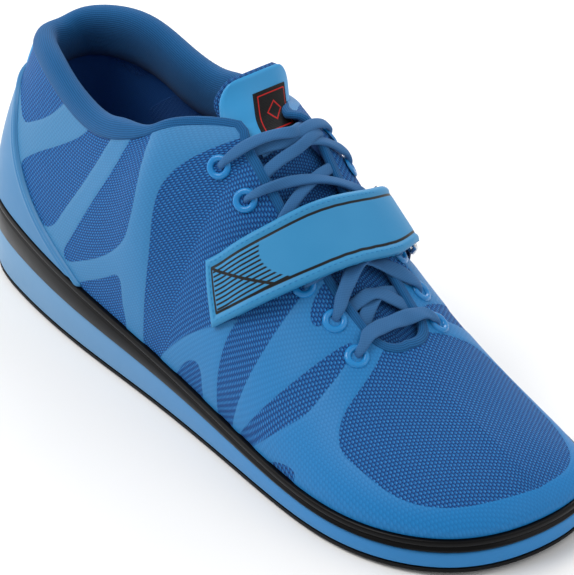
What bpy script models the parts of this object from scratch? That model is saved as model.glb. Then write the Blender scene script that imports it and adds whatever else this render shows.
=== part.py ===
"""Weightlifting shoe for the right foot, standing empty on its sole.

The toe points along +Y, the outer (lateral) side is +X and +Z is up, with the floor at z = 0. Sizes are in
millimetres, measured along the shoe from the heel's back. When a mesh is made they become metres, measured
from the middle of the sole's outline on the floor.
"""

import math

import bmesh
import bpy
import numpy as np
from mathutils import Matrix, Vector

MM = 0.001
GAP = 0.3

# Driving sizes of the shoe
LENGTH = 298.5
BALL_WIDTH = 103.5
INSTEP_HEIGHT = 112.5
HEEL_TOP = 38.3
TOE_SPRING = 2.2
SPRING_START = 215.0

# Upper
WALL = 2.0
FEATHER_INSET = 2.0
RIDGE_START = 0.47
STATIONS_PER_SIDE = 34
ROWS = 8

# Sole
OUTSOLE_THICKNESS = 2.3
SOLE_INSET = 0.7
SOLE_STATIONS = 26
SOLE_STATION_BIAS = 0.21
INSOLE_THICKNESS = 4.0

# Throat opening
THROAT_END = 0.79
THROAT_ROUND = 0.72
THROAT_POINT = 0.9
CORNER_SOFTNESS = 0.05
CORNER_STATIONS = (0.434, 0.460, 0.487)
THROAT_END_STEPS = 8
LATERAL_GAP_TOP = 18.0
LATERAL_GAP_END = 10.5
MEDIAL_GAP_TOP = 13.0
MEDIAL_GAP_END = 14.0

LATERAL = 1
MEDIAL = -1

# Sole outline: across in percent of the ball width, along in percent of the length
OUTLINE_LATERAL = (
    (0.0, 0.0),
    (26.6, 2.7),
    (38.2, 12.7),
    (43.0, 28.1),
    (44.4, 45.2),
    (47.8, 62.6),
    (49.8, 72.0),
    (47.3, 84.9),
    (27.1, 96.3),
    (-5.8, 100.0),
)
OUTLINE_MEDIAL = (
    (0.0, 0.0),
    (-25.1, 3.0),
    (-34.8, 12.7),
    (-32.9, 28.5),
    (-33.8, 43.6),
    (-43.5, 58.6),
    (-50.2, 72.0),
    (-48.3, 85.6),
    (-34.3, 97.2),
    (-5.8, 100.0),
)

# Heights of the sole: along in percent of the length, top and bottom of the band in percent of the heel's
SOLE_HEIGHTS = (
    # along, band top, band bottom
    (0.0, 100.0, 59.3),
    (25.1, 78.3, 46.5),
    (50.3, 57.0, 36.5),
    (75.4, 40.5, 26.5),
    (100.5, 39.2, 25.0),
)

# Sections of the upper, from the heel's back (station 0) to the toe's tip (station 1).
# across and reach: percent of the ball width. along: percent of the length.
# height and rise: percent of the instep height. lean: slope of the wall at the sole. droop: degrees.
SECTIONS_LATERAL = (
    # station, across, along, height, rise, lean, reach, droop
    (0.00, -2.9, 4.1, 86.5, 28.4, -0.16, 22.2, 68.0),
    (0.06, 10.0, 5.7, 87.8, 27.6, -0.13, 24.2, 70.0),
    (0.13, 21.8, 12.8, 88.9, 26.2, -0.09, 26.1, 75.0),
    (0.22, 28.0, 22.3, 83.1, 24.9, -0.02, 27.1, 75.0),
    (0.30, 30.0, 30.7, 84.4, 24.4, 0.02, 28.0, 71.0),
    (0.37, 27.1, 37.7, 93.8, 24.9, 0.04, 28.5, 60.0),
    (0.42, 17.9, 42.7, 100.4, 25.8, 0.06, 29.0, 38.0),
    (0.47, -4.8, 52.4, 100.0, 25.3, 0.09, 30.5, 14.0),
    (0.55, -4.3, 56.5, 86.2, 23.6, 0.12, 31.0, 5.0),
    (0.65, -3.9, 64.2, 68.4, 19.6, 0.14, 29.5, 2.0),
    (0.75, -3.9, 72.0, 52.0, 16.0, 0.13, 27.1, 2.0),
    (0.87, -3.4, 80.6, 40.0, 11.1, 0.11, 22.7, 2.0),
    (1.00, -3.9, 87.8, 33.8, 7.6, 0.11, 13.5, 2.0),
)
SECTIONS_MEDIAL = (
    # station, across, along, height, rise, lean, reach, droop
    (0.00, -2.9, 4.1, 86.5, 28.4, -0.16, 22.2, 68.0),
    (0.06, -15.5, 5.7, 88.9, 27.6, -0.13, 24.2, 70.0),
    (0.13, -26.6, 12.8, 90.3, 26.2, -0.09, 26.1, 75.0),
    (0.22, -30.5, 22.3, 84.0, 24.9, -0.02, 27.1, 75.0),
    (0.30, -31.5, 30.7, 83.0, 24.4, 0.02, 28.0, 71.0),
    (0.37, -29.0, 37.9, 91.5, 25.3, 0.04, 28.5, 60.0),
    (0.42, -22.5, 43.0, 98.0, 25.8, 0.07, 32.0, 33.0),
    (0.47, -4.8, 52.4, 100.0, 25.3, 0.10, 35.0, 7.0),
    (0.55, -4.3, 56.5, 86.2, 22.2, 0.12, 34.5, 1.0),
    (0.65, -3.9, 64.2, 68.4, 15.5, 0.12, 30.0, 1.0),
    (0.75, -3.9, 72.0, 52.0, 8.5, 0.10, 24.0, 1.0),
    (0.87, -3.4, 80.6, 40.0, 4.5, 0.09, 17.0, 1.0),
    (1.00, -3.9, 87.8, 33.8, 7.6, 0.11, 13.5, 2.0),
)

# Ridge of the instep and toe, from the top of the throat forward
RIDGE = (
    # across, along, height
    (-4.8, 52.4, 100.0),
    (-4.3, 57.1, 84.9),
    (-3.9, 63.8, 68.9),
    (-3.9, 70.9, 54.2),
    (-3.4, 77.4, 44.0),
    (-3.4, 83.1, 37.6),
    (-3.9, 87.8, 33.8),
)

# Tongue: place along the ridge, or height above the throat in percent of 100 mm where it is negative
TONGUE = (
    # ridge place, half width, thickness, radius across, sink under the flaps, shift to the outer side
    (0.66, 18.0, 3.0, 60.0, 0.0, 0.0),
    (0.55, 22.0, 4.0, 50.0, 0.0, 0.0),
    (0.40, 25.0, 5.0, 42.0, 0.0, 0.0),
    (0.25, 27.0, 5.5, 36.0, 0.0, 0.0),
    (0.12, 25.0, 5.0, 32.0, 1.2, 0.0),
    (0.00, 18.0, 4.5, 24.0, 4.8, 3.5),
    (-0.08, 12.0, 4.5, 20.0, 10.5, 4.5),
    (-0.13, 14.0, 4.5, 22.0, 11.0, 3.5),
    (-0.18, 19.0, 4.5, 24.0, 11.0, -2.0),
    (-0.23, 18.5, 4.5, 26.0, 10.4, -3.5),
    (-0.275, 9.5, 4.0, 30.0, 9.0, -3.0),
)
TONGUE_ACROSS = 8
TONGUE_RINGS = 16
TONGUE_CLEARANCE = WALL + GAP + 0.6
TONGUE_TOP_ROW = 5
ARC_BLEND = 0.08

# Label on the tongue's top: its edges across in millimetres, its ends along, and its two faces
LABEL_ACROSS = (-13.5, 4.5)
LABEL_PLACES = (-0.02, -0.19)
LABEL_LOW = 0.35
LABEL_HIGH = 0.95

# Heel counter: how high its edge stands at each station
COUNTER_EDGE = (
    # station, rise
    (0.00, 0.80),
    (0.05, 0.77),
    (0.098, 0.69),
    (0.132, 0.50),
    (0.164, 0.38),
    (0.21, 0.24),
    (0.25, 0.14),
    (0.286, 0.06),
)
COUNTER_LOW = 0.45
COUNTER_HIGH = 1.55

# Film guard around the toe: how high its edge stands at each station, and its two faces over the upper
TOE_GUARD_EDGE = (
    # station, rise on the outer side, rise on the inner side
    (0.745, 0.40, 0.38),
    (0.762, 0.34, 0.33),
    (0.80, 0.30, 0.29),
    (0.85, 0.26, 0.26),
    (0.90, 0.28, 0.27),
    (0.94, 0.31, 0.29),
    (1.00, 0.33, 0.33),
)
GUARD_LOW = 0.35
GUARD_HIGH = 1.0
FILM_START = 0.012
FILM_ROWS = 5

# Tab over the heel's seam
TAB_HALF_STATIONS = 0.034
TAB_RISES = (0.66, 0.94)
TAB_CORNERS = (0.0, 0.0, 0.01, 0.03)
TAB_THICKNESS = 1.0
TAB_GAP = 0.4

# Collar roll and throat binding as points of (out of the upper's surface, past its edge)
COLLAR_SECTION = (
    (-0.1, 0.5),
    (1.0, 3.2),
    (-0.8, 7.4),
    (-5.2, 7.6),
    (-8.4, 2.5),
    (-8.2, -8.0),
    (-5.6, -19.0),
    (-2.8, -22.0),
    (-2.45, 0.5),
)
BINDING_SECTION = (
    (-0.3, 1.1),
    (0.6, 1.3),
    (0.6, 2.2),
    (-0.2, 2.8),
    (-1.2, 2.8),
    (-1.9, 2.4),
    (-2.1, 1.8),
    (-2.1, 1.4),
    (-1.8, 1.1),
)
PAD_ENDS = (0.30, 0.40)

# Eyelets from the top of the throat down
EYELETS = (
    # lateral station, lateral rise, medial station, medial rise
    (0.456, 0.74, 0.488, 0.70),
    (0.506, 0.71, 0.524, 0.70),
    (0.564, 0.72, 0.578, 0.70),
    (0.624, 0.74, 0.630, 0.70),
    (0.678, 0.76, 0.680, 0.70),
    (0.724, 0.74, 0.726, 0.71),
)
EYELET_HOLE_RADIUS = 2.9
EYELET_SECTION = (
    # radius, out
    (2.1, -1.9),
    (2.6, -1.9),
    (2.6, 0.35),
    (4.7, 0.4),
    (2.1, 1.0),
)
EYELET_SIDES = 8

# Lace bars: width, thickness, heights over the upper, and the dip over the tongue
LACE_WIDTH = 6.0
LACE_THICKNESS = 1.1
LACE_LEVELS = ((2.2, 2.5), (1.9, 2.8))
LACE_DIP = 1.6
LACE_DIP_REACH = 0.22
LACE_STEPS = 6
TUCK_LATERAL = (0.470, 0.86)
TUCK_MEDIAL = (0.478, 1.02)

# Strap: places along it from the free end (0) to the ring (1), then the loop that holds the ring.
# A rise over 1 counts down the medial side.
STRAP = (
    # place, top station, top rise, low station, low rise, under layer's height, top layer's height
    (0.00, 0.500, 0.47, 0.541, 0.32, 0.5, 0.8),
    (0.12, 0.518, 0.56, 0.564, 0.43, 0.7, 2.0),
    (0.22, 0.533, 0.64, 0.584, 0.52, 3.2, 4.5),
    (0.30, 0.543, 0.70, 0.597, 0.59, 4.4, 5.7),
    (0.45, 0.560, 0.82, 0.622, 0.73, 4.5, 5.8),
    (0.60, 0.572, 0.94, 0.643, 0.87, 4.5, 5.8),
    (0.72, 0.574, 1.05, 0.652, 1.02, 4.9, 6.1),
    (0.85, 0.565, 1.18, 0.643, 1.20, 5.0, 6.3),
    (0.94, 0.556, 1.30, 0.629, 1.33, 4.7, 6.9),
    (1.00, 0.548, 1.38, 0.614, 1.42, 3.4, 6.9),
    (1.10, 0.540, 1.47, 0.606, 1.52, 0.6, 2.0),
    (1.30, 0.528, 1.62, 0.592, 1.68, 0.6, 1.6),
)
STRAP_TOP_THICKNESS = 1.5
STRAP_UNDER_THICKNESS = 1.0
STRAP_UNDER_END = 0.14
STRAP_OVER_EYELETS = 0.30
STRAP_OVER_THROAT = (0.38, 0.94)
STRAP_ACROSS = 4
TURN_STEPS = 7

# The strap is straight across between these places
STRAIGHT_IN = (0.80, 0.95)
STRAIGHT_OUT = (1.20, 1.30)

# Metal ring, and the webbing loop that holds it
RING_WIRE = 1.0
RING_OVERHANG = 0.05
RING_PLACES = (1.0, 1.1)
RING_CENTRES = (5.6, 2.9)
RING_CORNER = 1.8
RING_CORNER_SHARES = (0.0, 0.35, 0.65, 1.0)
RING_SIDES = 8
LOOP_THICKNESS = 0.8
LOOP_ACROSS = (0.06, 0.94)
LOOP_PLACES = (1.28, 1.16)
LOOP_HEIGHT = 0.5
LOOP_SPREAD = 12.0

# Looks: colour, roughness, metallic
LOOKS = {
    "black_rubber": ((0.02, 0.02, 0.025), 0.6, 0.0),
    "light_blue_foam": ((0.25, 0.42, 0.65), 0.5, 0.0),
    "blue_mesh": ((0.06, 0.20, 0.50), 0.8, 0.0),
    "navy_lining": ((0.04, 0.08, 0.18), 0.9, 0.0),
    "light_blue_film": ((0.20, 0.42, 0.75), 0.5, 0.0),
    "denim_knit": ((0.05, 0.13, 0.30), 0.9, 0.0),
    "bright_blue_plastic": ((0.05, 0.30, 0.62), 0.35, 0.0),
    "denim_lace": ((0.06, 0.16, 0.36), 0.85, 0.0),
    "sky_blue_strap": ((0.10, 0.42, 0.72), 0.6, 0.0),
    "polished_steel": ((0.70, 0.70, 0.72), 0.2, 1.0),
    "black_label": ((0.01, 0.01, 0.012), 0.7, 0.0),
}


def unit(vectors):
    """Rows of vectors, each made one long."""
    return vectors / np.linalg.norm(vectors, axis=-1, keepdims=True)


class Spline:
    """A natural cubic spline through rows of values, or a closed one."""

    def __init__(self, places, values, closed=False):
        self.t = np.asarray(places, float)
        self.v = np.asarray(values, float).reshape(len(self.t), -1)
        count = len(self.t) - 1
        self.h = np.diff(self.t)
        slope = np.diff(self.v, axis=0) / self.h[:, None]
        matrix = np.zeros((count + 1, count + 1))
        right = np.zeros((count + 1, self.v.shape[1]))
        for i in range(1, count):
            matrix[i, i - 1 : i + 2] = self.h[i - 1], 2 * (self.h[i - 1] + self.h[i]), self.h[i]
            right[i] = 6 * (slope[i] - slope[i - 1])
        matrix[0, 0] = matrix[count, count] = 1
        if closed:
            matrix[0, 0] = 2 * (self.h[0] + self.h[-1])
            matrix[0, 1] = self.h[0]
            matrix[0, count - 1] = self.h[-1]
            right[0] = 6 * (slope[0] - slope[-1])
            matrix[count, 0] = -1
        self.m = np.linalg.solve(matrix, right)

    def __call__(self, x):
        x = np.atleast_1d(np.asarray(x, float))
        k = np.clip(np.searchsorted(self.t, x, side="right") - 1, 0, len(self.h) - 1)
        h = self.h[k][:, None]
        a = (self.t[k + 1] - x)[:, None] / h
        b = 1 - a
        bend = (a**3 - a) * self.m[k] + (b**3 - b) * self.m[k + 1]
        return a * self.v[k] + b * self.v[k + 1] + bend * h**2 / 6


class Last:
    """The form that the shoe is built on: sole outline, sole heights and the upper's outer surface.

    A place on the upper is a side, a station s from the heel's back (0) to the toe's tip (1), and a rise
    v from the sole (0) to the top line or ridge (1).
    """

    def __init__(self):
        size = np.array([BALL_WIDTH, LENGTH]) / 100
        ring = np.array(OUTLINE_LATERAL + OUTLINE_MEDIAL[-2:0:-1]) * size
        loop = np.vstack([ring, ring[:1]])
        chord = np.linalg.norm(np.diff(loop, axis=0), axis=1)
        place = np.concatenate([[0], np.cumsum(np.sqrt(chord))])
        at = Spline(place, loop, closed=True)
        u = np.linspace(0, place[-1], 1601)
        points = at(u)
        tangent = np.gradient(points, u, axis=0)
        tangent[0] = tangent[-1] = points[1] - points[-2]
        tangent /= np.linalg.norm(tangent, axis=1)[:, None]
        normal = np.c_[tangent[:, 1], -tangent[:, 0]]
        run = np.concatenate([[0], np.cumsum(np.linalg.norm(np.diff(points, axis=0), axis=1))])
        tip = np.searchsorted(u, place[len(OUTLINE_LATERAL) - 1])
        self.half = {
            LATERAL: (run[: tip + 1] / run[tip], points[: tip + 1], normal[: tip + 1]),
            MEDIAL: ((run[-1] - run[tip:][::-1]) / (run[-1] - run[tip]), points[tip:][::-1], normal[tip:][::-1]),
        }
        middle = (points.min(axis=0) + points.max(axis=0)) / 2
        self.centre = Vector((middle[0], middle[1], 0))
        heights = np.array(SOLE_HEIGHTS)
        self.heights = Spline(heights[:, 0] * LENGTH / 100, heights[:, 1:] * HEEL_TOP / 100)
        scale = np.array([BALL_WIDTH, LENGTH, INSTEP_HEIGHT, INSTEP_HEIGHT, 100, BALL_WIDTH, 100]) / 100
        self.sections = {}
        tables = {LATERAL: np.array(SECTIONS_LATERAL), MEDIAL: np.array(SECTIONS_MEDIAL)}
        for side, rows in tables.items():
            other = tables[-side]
            behind = other[1:4][::-1].copy()
            behind[:, 0] *= -1
            ahead = other[-3:-1][::-1].copy()
            ahead[:, 0] = 2 - ahead[:, 0]
            rows = np.vstack([behind, rows, ahead])
            self.sections[side] = Spline(rows[:, 0], rows[:, 1:] * scale)
        self.ridge = Spline(np.linspace(0, 1, len(RIDGE)), np.array(RIDGE) * scale[:3])
        self.ridge_line = self.ridge(np.linspace(0, 1, 241))

    def edge(self, side, s, out=0.0):
        """Points of the sole outline, moved outwards by out."""
        place, points, normal = self.half[side]
        on_line = [np.interp(s, place, points[:, k]) for k in (0, 1)]
        outward = [np.interp(s, place, normal[:, k]) for k in (0, 1)]
        return np.stack([p + out * n for p, n in zip(on_line, outward)], axis=-1)

    def spring(self, y):
        """How far the toe spring lifts the sole at y."""
        return TOE_SPRING * (np.clip(y - SPRING_START, 0, None) / (LENGTH - SPRING_START)) ** 2

    def band_top(self, y):
        """Height of the black band's top, where the upper stands."""
        return self.heights(y)[:, 0] + self.spring(y)

    def band_bottom(self, y):
        """Height of the black band's underside."""
        return self.heights(y)[:, 1] + self.spring(y)

    def handles(self, side, s):
        """The four control points of each section's curve."""
        foot = self.edge(side, s, -FEATHER_INSET)
        outward = self.edge(side, s, 1.0) - self.edge(side, s, 0.0)
        foot = np.c_[foot, self.band_top(foot[:, 1]) + GAP]
        row = self.sections[side](s)
        top = row[:, :3].copy()
        rise, lean, reach, droop = row[:, 3], row[:, 4], row[:, 5], np.radians(row[:, 6])
        on_ridge = s >= RIDGE_START
        place = (s - RIDGE_START) / (1 - RIDGE_START)
        top[on_ridge] = self.ridge(place[on_ridge])
        near = np.clip(place, 0.001, 0.999)
        fall = self.ridge(near + 0.001) - self.ridge(near - 0.001)
        blend = np.clip((s - RIDGE_START + 0.13) / 0.15, 0, 1)
        blend = blend * blend * (3 - 2 * blend)
        away = foot[:, :2] - top[:, :2]
        away = unit(away)
        away = unit(np.c_[away, blend * away[:, 1] * fall[:, 2] / fall[:, 1]])
        down = np.cos(droop)[:, None] * away
        down[:, 2] -= np.sin(droop)
        low = foot + rise[:, None] * np.c_[outward * lean[:, None], np.ones(len(s))]
        return foot, low, top + reach[:, None] * down, top

    def surface(self, side, s, v):
        """Points of the upper's outer surface for matching arrays of stations and rises."""
        s, v = np.broadcast_arrays(np.asarray(s, float), np.asarray(v, float))
        shape = s.shape
        foot, low, high, top = self.handles(side, s.ravel())
        v = v.ravel()[:, None]
        points = (1 - v) ** 3 * foot + 3 * v * (1 - v) ** 2 * low + 3 * v**2 * (1 - v) * high + v**3 * top
        return points.reshape(shape + (3,))

    def normal(self, side, s, v):
        """Outward normals of the upper's surface."""
        s, v = np.broadcast_arrays(np.asarray(s, float), np.asarray(v, float))
        step = 0.004

        def raw(which):
            ahead, behind = (self.surface(which, np.clip(s + k, 0, 1), v) for k in (step, -step))
            above, below = (self.surface(which, s, np.clip(v + k, 0, 1)) for k in (step, -step))
            return unit(np.cross(ahead - behind, above - below) * which)

        found = raw(side)
        seam = (s <= 0) | ((v >= 1) & (s >= RIDGE_START))
        found = np.where(seam[..., None], found + raw(-side), found)
        return unit(found)

    def at(self, side, s, v, out=0.0):
        """Points at a distance out from the upper's outer surface."""
        out = np.asarray(out, float)[..., None] if np.ndim(out) else out
        return self.surface(side, s, v) + out * self.normal(side, s, v)

    def opening(self, side, s):
        """The rise at which the upper ends: the collar's top line, and the throat's edge forward of it."""
        s = np.atleast_1d(np.asarray(s, float))
        rises = np.linspace(0, 1, 161)
        points = self.surface(side, s[None, :], rises[:, None])
        away = np.linalg.norm(points[:, :, None, :] - self.ridge_line[None, None, ::4], axis=-1).min(axis=2)
        place = np.clip((s - RIDGE_START) / (THROAT_END - RIDGE_START), 0, 1)
        first, last = (
            (LATERAL_GAP_TOP, LATERAL_GAP_END) if side == LATERAL else (MEDIAL_GAP_TOP, MEDIAL_GAP_END)
        )
        turn = np.clip((s - THROAT_ROUND) / (THROAT_END - THROAT_ROUND), 0, 1)
        wide = (first + (last - first) * place) * (1 - turn**2) ** THROAT_POINT
        found = np.empty(len(s))
        for i in range(len(s)):
            column = away[:, i]
            if s[i] >= THROAT_END:
                found[i] = 1.0
            elif column[-1] > wide[i]:
                found[i] = 1.0 + (column[-1] - wide[i]) / 60
            else:
                last_clear = np.nonzero(column > wide[i])[0][-1]
                between = (column[last_clear] - wide[i]) / (column[last_clear] - column[last_clear + 1])
                found[i] = rises[last_clear] + between * (rises[1] - rises[0])
        soft = 0.5 * (1 + found - np.sqrt((1 - found) ** 2 + CORNER_SOFTNESS**2))
        weight = np.clip((s - 0.36) / 0.04, 0, 1) * np.clip((THROAT_ROUND - s) / 0.04, 0, 1)
        return np.minimum(found, 1) * (1 - weight) + soft * weight


LAST = Last()


def material(name):
    """A plain material with the named look."""
    colour, roughness, metallic = LOOKS[name]
    found = bpy.data.materials.new(name)
    found.use_nodes = True
    shader = found.node_tree.nodes["Principled BSDF"]
    shader.inputs["Base Color"].default_value = (*colour, 1)
    shader.inputs["Roughness"].default_value = roughness
    shader.inputs["Metallic"].default_value = metallic
    found.diffuse_color = (*colour, 1)
    return found


def finish(name, bm, look, sharp=50.0):
    """Make an object of a bmesh whose points are in millimetres."""
    bmesh.ops.remove_doubles(bm, verts=bm.verts, dist=0.001)
    bmesh.ops.recalc_face_normals(bm, faces=bm.faces)
    if bm.calc_volume(signed=True) < 0:
        bmesh.ops.reverse_faces(bm, faces=bm.faces)
    bmesh.ops.translate(bm, vec=-LAST.centre, verts=bm.verts)
    bmesh.ops.scale(bm, vec=(MM, MM, MM), verts=bm.verts)
    bmesh.ops.triangulate(bm, faces=bm.faces)
    mesh = bpy.data.meshes.new(name)
    bm.to_mesh(mesh)
    bm.free()
    mesh.shade_smooth()
    mesh.set_sharp_from_angle(angle=math.radians(sharp))
    mesh.materials.append(look)
    thing = bpy.data.objects.new(name, mesh)
    bpy.context.scene.collection.objects.link(thing)
    return thing


def sheet(points):
    """An open grid of faces placed at an array of points, rows by columns."""
    rows, columns = points.shape[:2]
    bm = bmesh.new()
    bmesh.ops.create_grid(bm, x_segments=columns - 1, y_segments=rows - 1, size=1)
    bm.verts.ensure_lookup_table()
    for index, vert in enumerate(bm.verts):
        vert.co = points[index // columns, index % columns]
    bmesh.ops.remove_doubles(bm, verts=bm.verts, dist=0.001)
    bmesh.ops.recalc_face_normals(bm, faces=bm.faces)
    return bm


def stations(count):
    """Stations from heel to toe, closer together where the outline turns and where the throat ends."""
    quarter = np.linspace(0, math.pi / 2, THROAT_END_STEPS)
    turn = THROAT_END - (THROAT_END - THROAT_ROUND) * (1 - np.sin(quarter))
    even = np.linspace(0, 1, count)
    even = even[(even < THROAT_ROUND - 0.005) | (even > THROAT_END + 0.008)]
    return np.sort(np.concatenate([even, CORNER_STATIONS, turn]))


def rises(top):
    """Rises from the sole to the opening, where only the upper rows follow the opening's line."""
    share = np.linspace(0, 1, ROWS + 1)[:, None]
    return share - (1 - top[None, :]) * share**2.5


def no_inset(side, s):
    """A sole layer that follows the outline itself."""
    return np.zeros(len(s))


def profiled_slab(name, profile, look, inset=no_inset):
    """A sole layer: rings of the outline stacked by a profile of (out, height function, extra height)."""
    s = np.linspace(0, 1, SOLE_STATIONS + 1)
    s = s - SOLE_STATION_BIAS * np.sin(2 * math.pi * s) / (2 * math.pi)
    bm = bmesh.new()
    rings = []
    for out, height, extra in profile:
        lateral = LAST.edge(LATERAL, s, out + inset(LATERAL, s))
        medial = LAST.edge(MEDIAL, s[1:-1], out + inset(MEDIAL, s[1:-1]))[::-1]
        flat = np.vstack([lateral, medial])
        z = height(flat[:, 1]) + extra
        rings.append([bm.verts.new((x, y, h)) for (x, y), h in zip(flat, z)])
    count = len(rings[0])
    for low, high in zip(rings, rings[1:]):
        for i in range(count):
            k = (i + 1) % count
            bm.faces.new((low[i], low[k], high[k], high[i]))
    for ring, (out, height, extra) in ((rings[0], profile[0]), (rings[-1], profile[-1])):
        middle = []
        for i in range(1, SOLE_STATIONS):
            spot = (ring[i].co + ring[-i].co) / 2
            spot.z = height(np.array([spot.y]))[0] + extra
            middle.append(bm.verts.new(spot))
        chain = [ring[0]] + middle + [ring[SOLE_STATIONS]]
        for i in range(SOLE_STATIONS):
            for first, second in ((ring[i], ring[i + 1]), (ring[-i] if i else ring[0], ring[-i - 1])):
                corners = []
                for vert in (first, second, chain[i + 1], chain[i]):
                    if vert not in corners:
                        corners.append(vert)
                bm.faces.new(corners)
    return finish(name, bm, look)


def outsole_profile():
    """The thin outsole, with its lower edge bevelled."""
    floor = LAST.spring
    return (
        (-SOLE_INSET - 1.3, floor, 0.0),
        (-SOLE_INSET, floor, 1.1),
        (-SOLE_INSET, floor, OUTSOLE_THICKNESS),
    )


def midsole_profile():
    """The wedge between the outsole and the band."""
    floor = LAST.spring
    return (
        (-SOLE_INSET - 0.4, floor, OUTSOLE_THICKNESS + GAP),
        (-SOLE_INSET + 0.1, floor, OUTSOLE_THICKNESS + GAP + 0.9),
        (-SOLE_INSET, LAST.band_bottom, -GAP - 0.6),
        (-SOLE_INSET - 0.5, LAST.band_bottom, -GAP),
    )


def band_profile():
    """The band, with a groove under the bead along its top."""
    low, top = LAST.band_bottom, LAST.band_top
    return (
        (-0.9, low, 0.0),
        (-0.1, low, 0.8),
        (0.0, top, -4.4),
        (-0.8, top, -3.6),
        (-0.8, top, -3.2),
        (0.1, top, -2.4),
        (0.1, top, -1.0),
        (-0.7, top, 0.0),
    )


def insole_inset(side, s):
    """How far in the insole's rim lies, which follows the lean of the wall beside it."""
    points = LAST.surface(side, s[None, :], np.linspace(0, 0.25, 26)[:, None])
    foot = points[0]
    outward = LAST.edge(side, s, 1.0) - LAST.edge(side, s, 0.0)
    lean = -((points[:, :, :2] - foot[None, :, :2]) * outward[None]).sum(axis=2)
    beside = points[:, :, 2] < foot[None, :, 2] + INSOLE_THICKNESS + 1.0
    deepest = np.where(beside, lean, 0).max(axis=0)
    return -FEATHER_INSET - (WALL + GAP) * 1.25 - deepest


def insole_profile():
    """The insole, with its upper edge bevelled."""
    top = LAST.band_top
    return (
        (0.0, top, GAP),
        (0.0, top, GAP + INSOLE_THICKNESS - 1.0),
        (-1.0, top, GAP + INSOLE_THICKNESS),
    )


def shell(name, low, high, look):
    """A closed solid between two surfaces given as matching grids of points."""
    rows, columns = low.shape[:2]
    bm = bmesh.new()
    bmesh.ops.create_grid(bm, x_segments=columns - 1, y_segments=rows - 1, size=1)
    layer = bm.verts.layers.float_vector.new("high")
    bm.verts.ensure_lookup_table()
    for index, vert in enumerate(bm.verts):
        vert.co = low[index // columns, index % columns]
        vert[layer] = high[index // columns, index % columns]
    made = bmesh.ops.extrude_face_region(bm, geom=list(bm.faces), use_keep_orig=True)
    for vert in made["geom"]:
        if isinstance(vert, bmesh.types.BMVert):
            vert.co = vert[layer]
    return finish(name, bm, look)


def ring_solid(name, rings, look):
    """A closed tube of matching rings of points, joined end to end."""
    bm = bmesh.new()
    placed = [[bm.verts.new(point) for point in ring] for ring in rings]
    count = len(placed[0])
    for low, high in zip(placed, placed[1:] + placed[:1]):
        for i in range(count):
            k = (i + 1) % count
            bm.faces.new((low[i], low[k], high[k], high[i]))
    return finish(name, bm, look)


def over(s, w, out=0.0):
    """Points over the upper where w runs from the lateral sole (0) over the ridge (1) to the medial sole (2)."""
    s, w, out = np.broadcast_arrays(np.asarray(s, float), np.asarray(w, float), np.asarray(out, float))
    lateral = LAST.at(LATERAL, s, np.clip(w, 0, 1), out)
    medial = LAST.at(MEDIAL, s, np.clip(2 - w, 0, 1), out)
    return np.where((w <= 1)[..., None], lateral, medial)


def upper_sheet():
    """The upper's outer surface as one open sheet, welded at the heel, the ridge and the toe's tip."""
    s = stations(STATIONS_PER_SIDE + 1)
    halves = []
    for side in (MEDIAL, LATERAL):
        halves.append(LAST.surface(side, s[None, :], rises(LAST.opening(side, s))))
    return sheet(np.concatenate([halves[0][:, :0:-1], halves[1]], axis=1))


def thicken(bm, depth):
    """Close an open sheet into a wall on its inner side, level along the feather line."""
    bm.normal_update()
    layer = bm.verts.layers.float_vector.new("outward")
    for vert in bm.verts:
        outward = vert.normal.copy()
        if vert.co.z < LAST.band_top(np.array([vert.co.y]))[0] + 2 * GAP:
            outward.z = 0
            outward.normalize()
        vert[layer] = outward
    made = bmesh.ops.extrude_face_region(bm, geom=list(bm.faces), use_keep_orig=True)
    for vert in made["geom"]:
        if isinstance(vert, bmesh.types.BMVert):
            vert.co -= vert[layer] * depth


def face_outwards(bm, centre):
    """Turn an open sheet's faces away from an inner point."""
    total = sum((face.calc_center_median() - centre).dot(face.normal) * face.calc_area() for face in bm.faces)
    if total < 0:
        bmesh.ops.reverse_faces(bm, faces=bm.faces)


def make_upper(look):
    """The hollow upper, open at the collar, at the throat and underneath."""
    bm = upper_sheet()
    face_outwards(bm, Vector((0, 150, 50)))
    thicken(bm, WALL)
    return finish("upper", bm, look)


def tongue_row(place, want, out, radius, shift):
    """Points across the tongue at one place on the ridge, from the medial edge to the lateral one.

    Low on the shoe they follow the upper's surface, and at the top of the throat an arc across the ridge.
    """
    above = max(0.0, -place) * 100
    s = RIDGE_START + max(place, 0.0) * (1 - RIDGE_START)
    steps = np.linspace(1, 0.3, 71)
    followed = np.empty((len(want), 3))
    for side in (MEDIAL, LATERAL):
        line = LAST.surface(side, np.full(71, s), steps)
        run = np.concatenate([[0], np.cumsum(np.linalg.norm(np.diff(line, axis=0), axis=1))])
        line = LAST.at(side, np.full(71, s), steps, out)
        mine = want * side >= 0
        followed[mine] = np.stack([np.interp(want[mine] * side, run, line[:, k]) for k in range(3)], axis=-1)
    ahead = LAST.ridge(np.array([max(place, 0.0), max(place, 0.0) + 0.02]))
    rise = unit(ahead[0] - ahead[1])
    across = np.array([1.0, 0.0, 0.0])
    outward = np.cross(rise, across)
    outward *= np.sign(outward[2])
    turn = want / radius
    centre = ahead[0] + above * rise + out * outward + shift * across
    arc = centre + radius * (np.sin(turn)[:, None] * across - (1 - np.cos(turn))[:, None] * outward)
    followed += above * rise + shift * across
    blend = np.clip(-place / ARC_BLEND, 0, 1)
    return (1 - blend) * followed + blend * arc


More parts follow.
